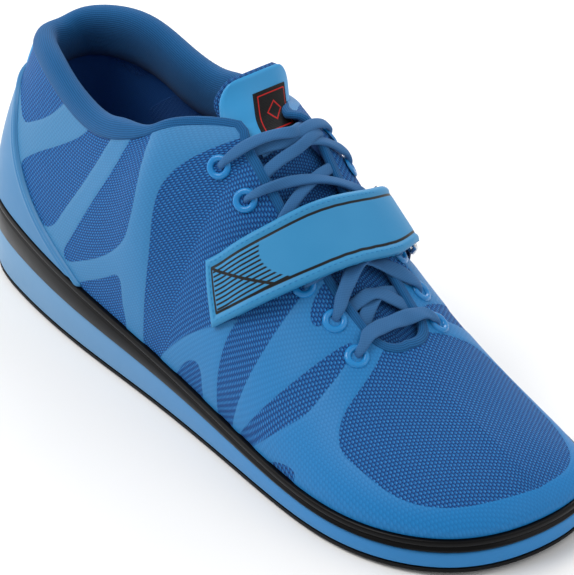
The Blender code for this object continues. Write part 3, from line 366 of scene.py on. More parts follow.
class Spline:
    """Natural cubic spline through rows of values, or a closed one where the last row repeats the first."""

    def __init__(self, places: Sequence[float], values: Array, closed: bool = False) -> None:
        """Solve the spline's second derivatives.

        Args:
            places: The parameter of each row, rising.
            values: One row of values for each place.
            closed: Whether the curve runs on from its last row to its first.
        """
        self.t = np.asarray(places, float)
        self.v = np.asarray(values, float).reshape(len(self.t), -1)
        count = len(self.t) - 1
        self.h = np.diff(self.t)
        slope = np.diff(self.v, axis=0) / self.h[:, None]
        matrix = np.zeros((count + 1, count + 1))
        right = np.zeros((count + 1, self.v.shape[1]))
        for i in range(1, count):
            matrix[i, i - 1 : i + 2] = self.h[i - 1], 2 * (self.h[i - 1] + self.h[i]), self.h[i]
            right[i] = 6 * (slope[i] - slope[i - 1])
        matrix[0, 0] = matrix[count, count] = 1
        if closed:
            matrix[0, 0] = 2 * (self.h[0] + self.h[-1])
            matrix[0, 1] = self.h[0]
            matrix[0, count - 1] = self.h[-1]
            right[0] = 6 * (slope[0] - slope[-1])
            matrix[count, 0] = -1
        self.m = np.linalg.solve(matrix, right)

    def __call__(self, x: Array) -> Array:
        """The curve's rows at the given parameters."""
        x = np.atleast_1d(np.asarray(x, float))
        k = np.clip(np.searchsorted(self.t, x, side="right") - 1, 0, len(self.h) - 1)
        h = self.h[k][:, None]
        a = (self.t[k + 1] - x)[:, None] / h
        b = 1 - a
        bend = (a**3 - a) * self.m[k] + (b**3 - b) * self.m[k + 1]
        return a * self.v[k] + b * self.v[k + 1] + bend * h**2 / 6


def ring_spline(ring: Array) -> tuple[Spline, Array]:
    """A closed spline through a ring of points, and each point's place on it, the first one's twice."""
    loop = np.vstack([ring, ring[:1]])
    chord = np.linalg.norm(np.diff(loop, axis=0), axis=1)
    place = np.concatenate([[0], np.cumsum(np.sqrt(chord))])
    return Spline(place, loop, closed=True), place


def curve_through(points: Sequence, count: int) -> Array:
    """Points of a smooth curve through given ones, evenly spaced in the spline's parameter."""
    rows = np.array(points, float)
    place = np.arange(len(rows))
    return Spline(place, rows)(np.linspace(0, len(rows) - 1, count))


@dataclass
class Form:
    """The form that the shoe is built on: sole outline, sole heights and the upper's outer surface.

    A place on the upper is a side, a station from the heel's back (0) to the toe's tip (1), and a rise from
    the sole (0) to the top line or ridge (1).
    """

    length: float = 298.5
    ball_width: float = 103.5
    instep_height: float = 112.5
    heel_top: float = 38.3
    toe_spring: float = 2.2
    spring_start: float = 215.0
    feather_inset: float = 2.0
    seat: float = 0.3
    ridge_start: float = 0.47
    throat_end: float = 0.79
    throat_round: float = 0.72
    throat_point: float = 0.9
    corner_softness: float = 0.05
    past_edge: float = 60.0
    soft_run: tuple[float, float] = (0.36, 0.04)
    gaps: dict[Side, tuple[float, float]] = field(
        default_factory=lambda: {Side.LATERAL: (18.0, 10.5), Side.MEDIAL: (13.0, 14.0)}
    )

    def __post_init__(self) -> None:
        """Fit the outline, the heights, the sections and the ridge."""
        size = np.array([self.ball_width, self.length]) / 100
        ring = np.array(OUTLINE_LATERAL + OUTLINE_MEDIAL[-2:0:-1]) * size
        curve, place = ring_spline(ring)
        u = np.linspace(0, place[-1], 1601)
        points = curve(u)
        tangent = np.gradient(points, u, axis=0)
        tangent[0] = tangent[-1] = points[1] - points[-2]
        tangent = unit(tangent)
        normal = np.c_[tangent[:, 1], -tangent[:, 0]]
        run = lengths_along(points)
        tip = np.searchsorted(u, place[len(OUTLINE_LATERAL) - 1])
        back = (run[-1] - run[tip:][::-1]) / (run[-1] - run[tip])
        self.half = {
            Side.LATERAL: (run[: tip + 1] / run[tip], points[: tip + 1], normal[: tip + 1]),
            Side.MEDIAL: (back, points[tip:][::-1], normal[tip:][::-1]),
        }
        middle = (points.min(axis=0) + points.max(axis=0)) / 2
        self.centre = Vector((middle[0], middle[1], 0))
        heights = np.array(SOLE_HEIGHTS)
        self.heights = Spline(heights[:, 0] * self.length / 100, heights[:, 1:] * self.heel_top / 100)
        scale = np.array([self.ball_width, self.length, self.instep_height, self.instep_height, 100])
        scale = np.concatenate([scale, [self.ball_width, 100]]) / 100
        tables = {Side.LATERAL: np.array(SECTIONS_LATERAL), Side.MEDIAL: np.array(SECTIONS_MEDIAL)}
        self.sections = {}
        for side, rows in tables.items():
            other = tables[Side(-side)]
            behind = other[1:4][::-1].copy()
            behind[:, 0] *= -1
            ahead = other[-3:-1][::-1].copy()
            ahead[:, 0] = 2 - ahead[:, 0]
            rows = np.vstack([behind, rows, ahead])
            self.sections[side] = Spline(rows[:, 0], rows[:, 1:] * scale)
        self.ridge = Spline(np.linspace(0, 1, len(RIDGE)), np.array(RIDGE) * scale[:3])
        self.ridge_line = self.ridge(np.linspace(0, 1, 241))

    def edge(self, side: Side, s: Array, out: Array = 0.0) -> Array:
        """Points of the sole outline, moved outwards by out."""
        place, points, normal = self.half[side]
        out = np.asarray(out, float)[..., None]
        return read_line(s, place, points) + out * read_line(s, place, normal)

    def spring(self, y: Array) -> Array:
        """How far the toe spring lifts the sole."""
        ahead = np.clip(y - self.spring_start, 0, None) / (self.length - self.spring_start)
        return self.toe_spring * ahead**2

    def band_top(self, y: Array) -> Array:
        """Height of the black band's top."""
        return self.heights(y)[:, 0] + self.spring(y)

    def band_bottom(self, y: Array) -> Array:
        """Height of the black band's bottom."""
        return self.heights(y)[:, 1] + self.spring(y)

    def handles(self, side: Side, s: Array) -> tuple[Array, Array, Array, Array]:
        """The four control points of each section's curve."""
        foot = self.edge(side, s, -self.feather_inset)
        outward = self.edge(side, s, 1.0) - self.edge(side, s, 0.0)
        foot = np.c_[foot, self.band_top(foot[:, 1]) + self.seat]
        row = self.sections[side](s)
        top = row[:, :3].copy()
        rise, lean, reach, droop = row[:, 3], row[:, 4], row[:, 5], np.radians(row[:, 6])
        on_ridge = s >= self.ridge_start
        place = (s - self.ridge_start) / (1 - self.ridge_start)
        top[on_ridge] = self.ridge(place[on_ridge])
        near = np.clip(place, 0.001, 0.999)
        fall = self.ridge(near + 0.001) - self.ridge(near - 0.001)
        blend = smoothstep(0, 1, (s - self.ridge_start + 0.13) / 0.15)
        away = unit(foot[:, :2] - top[:, :2])
        away = unit(np.c_[away, blend * away[:, 1] * fall[:, 2] / fall[:, 1]])
        down = np.cos(droop)[:, None] * away
        down[:, 2] -= np.sin(droop)
        low = foot + rise[:, None] * np.c_[outward * lean[:, None], np.ones(len(s))]
        return foot, low, top + reach[:, None] * down, top

    def surface(self, side: Side, s: Array, v: Array) -> Array:
        """Points of the upper's outer surface for matching arrays of stations and rises."""
        s, v = np.broadcast_arrays(np.asarray(s, float), np.asarray(v, float))
        foot, low, high, top = self.handles(side, s.ravel())
        t = v.ravel()[:, None]
        points = (1 - t) ** 3 * foot + 3 * t * (1 - t) ** 2 * low + 3 * t**2 * (1 - t) * high + t**3 * top
        return points.reshape(s.shape + (3,))

    def normal(self, side: Side, s: Array, v: Array) -> Array:
        """Outward normals of the upper's surface."""
        s, v = np.broadcast_arrays(np.asarray(s, float), np.asarray(v, float))
        step = 0.004

        def raw(which: Side) -> Array:
            """Normals from one side's surface alone."""
            ahead = self.surface(which, np.clip(s + step, 0, 1), v)
            behind = self.surface(which, np.clip(s - step, 0, 1), v)
            above = self.surface(which, s, np.clip(v + step, 0, 1))
            below = self.surface(which, s, np.clip(v - step, 0, 1))
            return unit(np.cross(ahead - behind, above - below) * int(which))

        found = raw(side)
        seam = (s <= 0) | ((v >= 1) & (s >= self.ridge_start))
        return unit(np.where(seam[..., None], found + raw(Side(-side)), found))

    def at(self, side: Side, s: Array, v: Array, out: Array = 0.0) -> Array:
        """Points at a distance out from the upper's outer surface."""
        lift = np.asarray(out, float)[..., None]
        return self.surface(side, s, v) + lift * self.normal(side, s, v)

    def over(self, s: Array, w: Array, out: Array = 0.0) -> Array:
        """Points where w runs from the lateral sole (0) over the ridge (1) to the medial sole (2)."""
        s, w, out = np.broadcast_arrays(np.asarray(s, float), np.asarray(w, float), np.asarray(out, float))
        lateral = self.at(Side.LATERAL, s, np.clip(w, 0, 1), out)
        medial = self.at(Side.MEDIAL, s, np.clip(2 - w, 0, 1), out)
        return np.where((w <= 1)[..., None], lateral, medial)

    def opening(self, side: Side, s: Array) -> Array:
        """The rise at which the upper ends: the collar's line, and the throat's edge forward of it."""
        s = np.atleast_1d(np.asarray(s, float))
        rises = np.linspace(0, 1, 161)
        points = self.surface(side, s[None, :], rises[:, None])
        away = np.linalg.norm(points[:, :, None, :] - self.ridge_line[None, None, ::4], axis=-1).min(axis=2)
        place = np.clip((s - self.ridge_start) / (self.throat_end - self.ridge_start), 0, 1)
        first, last = self.gaps[side]
        turn = np.clip((s - self.throat_round) / (self.throat_end - self.throat_round), 0, 1)
        wide = (first + (last - first) * place) * (1 - turn**2) ** self.throat_point
        found = np.empty(len(s))
        for i, column in enumerate(away.T):
            if s[i] >= self.throat_end:
                found[i] = 1.0
            elif column[-1] > wide[i]:
                found[i] = 1.0 + (column[-1] - wide[i]) / self.past_edge
            else:
                last_clear = np.nonzero(column > wide[i])[0][-1]
                between = (column[last_clear] - wide[i]) / (column[last_clear] - column[last_clear + 1])
                found[i] = rises[last_clear] + between * (rises[1] - rises[0])
        soft = 0.5 * (1 + found - np.sqrt((1 - found) ** 2 + self.corner_softness**2))
        start, fade = self.soft_run
        weight = np.clip((s - start) / fade, 0, 1) * np.clip((self.throat_round - s) / fade, 0, 1)
        return np.minimum(found, 1) * (1 - weight) + soft * weight

    def stations(self, count: int) -> Array:
        """Stations from heel to toe, closer together where the throat ends."""
        quarter = np.linspace(0, 90, count // 6)
        turn = self.throat_end - (self.throat_end - self.throat_round) * (1 - np.sin(np.radians(quarter)))
        even = np.linspace(0, 1, count)
        even = even[(even < self.throat_round - 0.002) | (even > self.throat_end + 0.002)]
        return np.sort(np.concatenate([even, turn]))


def operator(kind: str, swapped: bool = False) -> Callable:
    """A method that adds a Math node of one kind, with its own wire last where swapped."""

    def method(wire: "Wire", *others: object) -> "Wire":
        """Add the node and return its output."""
        values = (*others, wire) if swapped else (wire, *others)
        made = wire.graph.node("ShaderNodeMath", {"operation": kind}, dict(enumerate(values)))
        return Wire(wire.graph, made.outputs[0])

    return method


class Wire:
    """A shader value that takes part in Python expressions."""

    __add__ = operator("ADD")
    __radd__ = operator("ADD", swapped=True)
    __sub__ = operator("SUBTRACT")
    __rsub__ = operator("SUBTRACT", swapped=True)
    __mul__ = operator("MULTIPLY")
    __rmul__ = operator("MULTIPLY", swapped=True)
    __truediv__ = operator("DIVIDE")
    fraction = operator("FRACT")
    floor = operator("FLOOR")
    absolute = operator("ABSOLUTE")
    root = operator("SQRT")
    most = operator("MAXIMUM")

    def __init__(self, graph: "Graph", socket: bpy.types.NodeSocket) -> None:
        """Keep the socket and the graph that its nodes are added to."""
        self.graph = graph
        self.socket = socket

    def step(self, low: float, high: float) -> "Wire":
        """A smooth climb from 0 at low to 1 at high."""
        settings = {"interpolation_type": "SMOOTHSTEP"}
        values = {"Value": self, "From Min": low, "From Max": high}
        made = self.graph.node("ShaderNodeMapRange", settings, values)
        return Wire(self.graph, made.outputs["Result"])


class Graph:
    """A material's nodes, with a Principled shader at their end."""

    def __init__(self, name: str) -> None:
        """Start a material of a given name."""
        self.material = bpy.data.materials.new(name)
        self.material.use_nodes = True
        self.tree = self.material.node_tree
        self.shader = self.tree.nodes["Principled BSDF"]

    def plug(self, socket: bpy.types.NodeSocket, value: object) -> None:
        """Link or set one socket."""
        if isinstance(value, Wire):
            self.tree.links.new(value.socket, socket)
        elif isinstance(value, tuple) and len(value) == 3 and socket.type == "RGBA":
            socket.default_value = (*value, 1.0)
        else:
            socket.default_value = value

    def node(
        self, kind: str, settings: Optional[dict] = None, values: Optional[dict] = None
    ) -> bpy.types.Node:
        """Add a node, with its settings first and then its sockets' values or links."""
        made = self.tree.nodes.new(kind)
        for key, value in (settings or {}).items():
            setattr(made, key, value)
        for key, value in (values or {}).items():
            self.plug(made.inputs[key], value)
        return made

    def split(self, place: Wire) -> tuple[Wire, Wire]:
        """The first two numbers of a vector."""
        parts = self.node("ShaderNodeSeparateXYZ", {}, {0: place})
        return Wire(self, parts.outputs[0]), Wire(self, parts.outputs[1])

    def attribute(self, name: str) -> Wire:
        """A number kept on the mesh."""
        return Wire(self, self.node("ShaderNodeAttribute", {"attribute_name": name}).outputs["Fac"])

    def weave_place(self) -> tuple[Wire, Wire]:
        """Places along and across the cloth in millimetres."""
        uv = self.node("ShaderNodeUVMap", {"uv_map": "weave"})
        return self.split(Wire(self, uv.outputs[0]))

    def own_place(self) -> Wire:
        """Place in the piece's own coordinates, in metres."""
        return Wire(self, self.node("ShaderNodeTexCoord").outputs["Object"])

    def along_shoe(self) -> Wire:
        """Place along the shoe, from 0 at the heel to 1 at the toe."""
        y = self.split(self.own_place())[1]
        return (y / SHOE_LENGTH + 0.5).step(0.0, 1.0)

    def noise(self, size: float, detail: float = 2.0) -> Wire:
        """Noise whose blotches are about a size in millimetres across."""
        values = {"Vector": self.own_place(), "Scale": 1 / (size * MM), "Detail": detail, "Roughness": 0.5}
        return Wire(self, self.node("ShaderNodeTexNoise", {}, values).outputs[0])

    def mix(self, factor: object, first: object, second: object) -> Wire:
        """A colour between two."""
        settings = {"data_type": "RGBA", "blend_type": "MIX"}
        made = self.node("ShaderNodeMix", settings, {"Factor": factor})
        self.plug(made.inputs[6], first)
        self.plug(made.inputs[7], second)
        return Wire(self, made.outputs[2])

    def bump(self, height: Wire, strength: float, distance: float) -> None:
        """Drive the shader's normal with a height in units of a distance in millimetres."""
        values = {"Height": height, "Strength": strength, "Distance": distance * MM}
        made = self.node("ShaderNodeBump", {}, values)
        self.tree.links.new(made.outputs[0], self.shader.inputs["Normal"])

    def dress(self, **values: object) -> bpy.types.Material:
        """Set the shader's sockets, named with underscores for blanks, and return the material."""
        for key, value in values.items():
            self.plug(self.shader.inputs[key.replace("_", " ").title().replace("Ior", "IOR")], value)
        return self.material


def linear(red: int, green: int, blue: int) -> Colour:
    """A colour given as the eye sees it, from 0 to 255, in the renderer's linear numbers."""
    shares = [c / 255 for c in (red, green, blue)]
    return tuple(((c + 0.055) / 1.055) ** 2.4 if c > 10 / 255 else c / 12.92 for c in shares)


def beads(
    graph: Graph, across: float, along: float, full: float, none: float, shift: tuple = (0.0, 0.0)
) -> Wire:
    """Rows of small raised beads, each row half a step on from the last.

    Args:
        graph: The material's graph.
        across: Step of the beads in a row.
        along: Step of the rows.
        full: Share of a step out to which a bead is whole.
        none: Share of a step where it ends.
        shift: How far its middle lies off the cell's, in steps.

    Returns:
        1 on the beads and 0 between them.
    """
    u, v = graph.weave_place()
    row = (v / along).floor()
    x = (u / across + (row * 0.5).fraction()).fraction() - 0.5 - shift[0]
    y = (v / along).fraction() - 0.5 - shift[1]
    return 1 - (x * x * 1.15 + y * y).root().step(full, none)


def ribs(graph: Graph, pitch: float, slant: float) -> Wire:
    """Fine ribs that run along the cloth, from 0 between them to 1 on top."""
    u, v = graph.weave_place()
    wave = ((v + u * slant) / pitch).fraction() - 0.5
    return 1 - wave.absolute().step(0.12, 0.5)


@dataclass(frozen=True)
class Mesh:
    """Knitted mesh: dark gaps, threads, and an off-centre painted highlight on each thread."""

    name: str = "tongue_mesh"
    gap: Colour = linear(6, 36, 88)
    thread: Colour = linear(12, 82, 148)
    # Colour of the painted highlight on each thread.
    painted_highlight: Colour = linear(54, 134, 196)
    pitch: float = 1.6
    row: float = 1.2

    def pattern(self, graph: Graph) -> tuple[Wire, Wire]:
        """Where the threads are, and where their painted highlights are."""
        bead = beads(graph, self.pitch, self.row, 0.40, 0.60)
        # The smaller, off-centre beads are a painted highlight on each thread.
        return bead, beads(graph, self.pitch, self.row, 0.10, 0.34, (0.10, -0.14))

    def build(self) -> bpy.types.Material:
        """Make the material."""
        graph = Graph(self.name)
        bead, painted_highlight = self.pattern(graph)
        graph.bump(bead + painted_highlight * 0.5, 0.8, 0.3)
        mesh = graph.mix(bead, self.gap, self.thread)
        return graph.dress(
            # The pale colour mixed over each bead is its painted highlight.
            base_color=graph.mix(painted_highlight * 0.6, mesh, self.painted_highlight),
            roughness=0.75 + 0.05 * graph.noise(3.0),
            specular_ior_level=0.3,
        )


@dataclass(frozen=True)
class MeshAndFilm(Mesh):
    """Mesh with a smooth film fused over it, told apart by the mesh's attribute film.

    The attribute inside tells the lining from the outer face.
    """

    name: str = "mesh_and_film"
    gap: Colour = linear(2, 34, 88)
    thread: Colour = linear(4, 86, 154)
    # Colour of the painted highlight on each thread.
    painted_highlight: Colour = linear(60, 148, 212)
    # The film's colour at the heel, paler and greyer than at the toe: a painted sheen.
    film_heel_sheen: Colour = linear(56, 122, 168)
    film_toe: Colour = linear(8, 114, 180)
    lining: Colour = linear(38, 84, 148)
    show_through: float = 0.16

    def build(self) -> bpy.types.Material:
        """Make the material."""
        graph = Graph(self.name)
        bead, painted_highlight = self.pattern(graph)
        film = graph.attribute("film").step(-0.22, 0.22)
        inside = graph.attribute("inside").step(0.3, 0.7)
        mesh = graph.mix(bead, self.gap, self.thread)
        # A painted highlight on each bare thread, stronger in noisy patches.
        mesh = graph.mix(painted_highlight * (0.15 + 0.9 * graph.noise(1.3)), mesh, self.painted_highlight)
        # The film pales from toe to heel: a painted sheen.
        coat = graph.mix(graph.along_shoe(), self.film_heel_sheen, self.film_toe)
        # The threads' painted highlight shows faintly through the film.
        coat = graph.mix(painted_highlight * self.show_through, coat, self.painted_highlight)
        coat = graph.mix(self.show_through * (1 - bead), coat, self.gap)
        lining = graph.mix(painted_highlight * 0.3, self.lining, self.thread)
        face = graph.mix(film, mesh, coat)
        bare = 1 - film
        graph.bump(film * 0.5 + bead * bare * 0.35 + painted_highlight * bare * 0.3 + bead * film * 0.10, 0.8, 0.5)
        return graph.dress(
            base_color=graph.mix(inside, face, lining),
            roughness=0.70 - film * 0.24 + 0.06 * graph.noise(3.0),
            specular_ior_level=0.3,
        )


@dataclass(frozen=True)
class Knit:
    """Fine ribbed knit, darker where the mesh's attribute inside says so."""

    name: str
    low: Colour
    high: Colour
    deep: Colour = linear(10, 40, 82)
    pitch: float = 0.85
    slant: float = 0.06

    def build(self) -> bpy.types.Material:
        """Make the material."""
        graph = Graph(self.name)
        rib = ribs(graph, self.pitch, self.slant)
        u, v = graph.weave_place()
        twist = ((u / 0.8 + v * 0.4).fraction() - 0.5).absolute().step(0.1, 0.5)
        tone = rib * 0.6 + twist * 0.2 + 0.2 * graph.noise(12.0)
        graph.bump(rib * 0.75 + twist * 0.25, 0.6, 0.22)
        outside = graph.mix(tone, self.low, self.high)
        return graph.dress(
            base_color=graph.mix(graph.attribute("inside") * (0.95 - 0.25 * rib), outside, self.deep),
            roughness=0.85 + 0.05 * graph.noise(6.0),
            specular_ior_level=0.25,
            sheen_weight=0.06,
        )


@dataclass(frozen=True)
class Satin:
    """A moulded or coated surface with a faint grain, its tone drifting in random blotches, or where asked,
    running from a pale painted sheen at the heel to the toe.
    """

    name: str
    low: Colour
    high: Colour
    rough: float = 0.45
    grain: float = 0.8
    depth: float = 0.03
    blotch: float = 30.0
    coat: float = 0.0
    specular: float = 0.3
    # Whether the heel end takes the pale low colour as a painted sheen.
    painted_heel_sheen: bool = False

    def build(self) -> bpy.types.Material:
        """Make the material."""
        graph = Graph(self.name)
        fine = graph.noise(self.grain, 3.0)
        graph.bump(fine, 0.6, self.depth)
        # Where asked, the tone runs from the pale low colour at the heel, a painted sheen, to the high one at
        # the toe; otherwise it drifts in random blotches.
        blotches_and_heel_sheen = graph.along_shoe() if self.painted_heel_sheen else graph.noise(self.blotch)
        return graph.dress(
            base_color=graph.mix(blotches_and_heel_sheen, self.low, self.high),
            roughness=self.rough + 0.1 * (graph.noise(5.0) - 0.5),
            coat_weight=self.coat,
            specular_ior_level=self.specular,
        )


@dataclass(frozen=True)
class LaceCloth:
    """Flat woven lace with a fine diagonal plait."""

    name: str = "lace_cloth"
    low: Colour = linear(26, 72, 118)
    high: Colour = linear(50, 102, 152)

    def build(self) -> bpy.types.Material:
        """Make the material."""
        graph = Graph(self.name)
        u, v = graph.weave_place()
        left = ((u + v) / 1.1).fraction() - 0.5
        right = ((u - v) / 1.1).fraction() - 0.5
        plait = 1 - (left.absolute() * right.absolute() * 4.0).step(0.0, 0.9) * 0.5
        graph.bump(plait, 0.4, 0.12)
        return graph.dress(
            base_color=graph.mix(plait, self.low, self.high),
            roughness=0.82 + 0.06 * graph.noise(2.0),
            specular_ior_level=0.3,
            sheen_weight=0.05,
        )


@dataclass(frozen=True)
class StrapPrint:
    """Coated strap face: a printed border line, and ruled lines with a diagonal at its free end."""

    name: str = "strap_print"
    low: Colour = linear(36, 124, 176)
    high: Colour = linear(56, 140, 190)
    ink: Colour = linear(3, 5, 9)
    border: float = 4.1
    border_width: float = 1.05
    pitch: float = 1.72
    line: float = 0.72
    field_start: float = 4.6
    field_end: float = 28.0
    field_middle: float = 9.0
    field_bow: float = 0.055
    slash_slope: float = 0.655

    def build(self) -> bpy.types.Material:
        """Make the material."""
        graph = Graph(self.name)
        u, v = graph.weave_place()
        rim = graph.attribute("rim")
        half = self.border_width / 2
        frame_line = 1 - (rim - self.border).absolute().step(half * 0.7, half * 1.3)
        inner = rim.step(self.border + 0.1, self.border + 0.3)
        ruled = ((v / self.pitch).fraction() - 0.5).absolute()
        ruled = 1 - ruled.step(self.line / self.pitch * 0.42, self.line / self.pitch * 0.62)
        centre = v - self.field_middle
        limit = self.field_end + self.field_bow * centre * centre
        ruled = ruled * inner * (1 - (u - limit).step(-0.4, 0.4))
        ruled = ruled * u.step(self.field_start, self.field_start + 0.5)
        slash = (v - self.border - (u - self.border) * self.slash_slope).absolute()
        slash = (1 - slash.step(0.5, 0.75)) * inner
        ink = frame_line.most(ruled).most(slash)
        tone = graph.mix(graph.noise(26.0), self.low, self.high)
        fine = graph.noise(0.7, 3.0)
        graph.bump(fine * 0.35 - ink * 0.4, 0.7, 0.12)
        return graph.dress(
            base_color=graph.mix(ink, tone, self.ink),
            roughness=0.46 + 0.12 * fine,
            specular_ior_level=0.3,
        )


@dataclass(frozen=True)
class LabelPrint:
    """Black woven label with a thin red frame and a plain red lozenge."""

    name: str = "label_print"
    ground: Colour = linear(9, 7, 10)
    ink: Colour = linear(190, 26, 24)
    width: float = 18.0
    height: float = 17.0
    frame: float = 1.7
    lozenge: float = 0.20

    def build(self) -> bpy.types.Material:
        """Make the material."""
        graph = Graph(self.name)
        u, v = graph.weave_place()
        line = 1 - (graph.attribute("rim") - self.frame).absolute().step(0.14, 0.30)
        away = (u / self.width - 0.5).absolute() + (v / self.height - 0.5).absolute()
        lozenge = 1 - (away - self.lozenge).absolute().step(0.012, 0.03)
        ink = line.most(lozenge)
        thread = ribs(graph, 0.55, 0.0)
        graph.bump(thread * 0.5 + ink * 0.5, 0.6, 0.15)
        return graph.dress(
            base_color=graph.mix(ink * 0.9, self.ground, self.ink),
            roughness=0.6 + 0.1 * thread,
            specular_ior_level=0.25,
        )


@dataclass(frozen=True)
class Steel:
    """Polished wire with faint scuffs."""

    name: str = "polished_steel"

    def build(self) -> bpy.types.Material:
        """Make the material."""
        graph = Graph(self.name)
        scuff = graph.noise(1.6, 4.0)
        graph.bump(scuff, 0.3, 0.02)
        return graph.dress(
            base_color=graph.mix(scuff, linear(176, 180, 186), linear(232, 234, 238)),
            roughness=0.16 + 0.14 * scuff,
            metallic=1.0,
        )


@dataclass
class Palette:
    """Every finish of the shoe, each made once."""

    rubber: Satin = Satin(
        "black_rubber", linear(7, 7, 9), linear(13, 13, 16), 0.55, 0.6, 0.04, specular=0.12
    )
    band: Satin = Satin("band_rubber", linear(3, 3, 4), linear(6, 6, 8), 0.3, 0.5, 0.02, specular=0.14)
    # The foam's pale greyish low colour at the heel is a painted sheen; its toe is saturated blue.
    foam: Satin = Satin(
        "light_blue_foam", linear(106, 148, 184), linear(40, 126, 190), 0.5, 0.7, 0.05, painted_heel_sheen=True
    )
    counter: Satin = Satin("counter_film", linear(48, 114, 164), linear(60, 126, 174), 0.38, 1.2, 0.02)
    tab: Satin = Satin("tab_film", linear(44, 138, 196), linear(58, 152, 208), 0.4, 1.0, 0.02)
    plastic: Satin = Satin(
        "eyelet_plastic", linear(18, 116, 182), linear(34, 132, 198), 0.25, 1.5, 0.01, coat=0.2
    )
    cloth: MeshAndFilm = MeshAndFilm()
    tongue: Mesh = Mesh()
    collar: Knit = Knit("collar_knit", linear(8, 62, 108), linear(24, 96, 152))
    lining: Knit = Knit("lining_cloth", linear(38, 82, 142), linear(58, 114, 180), pitch=1.4, slant=0.3)
    thread: Satin = Satin("stitch_thread", linear(26, 108, 164), linear(48, 134, 188), 0.6, 0.4, 0.02)
    lace: LaceCloth = LaceCloth()
    strap: StrapPrint = StrapPrint()
    webbing: Knit = Knit("strap_webbing", linear(8, 28, 58), linear(20, 56, 100), pitch=0.9, slant=0.5)
    label: LabelPrint = LabelPrint()
    steel: Steel = Steel()

    def __post_init__(self) -> None:
        """Keep the materials that were made."""
        self.made: dict[str, bpy.types.Material] = {}

    def get(self, finish: str) -> bpy.types.Material:
        """The material of a finish, by the name of its field."""
        if finish not in self.made:
            self.made[finish] = getattr(self, finish).build()
        return self.made[finish]


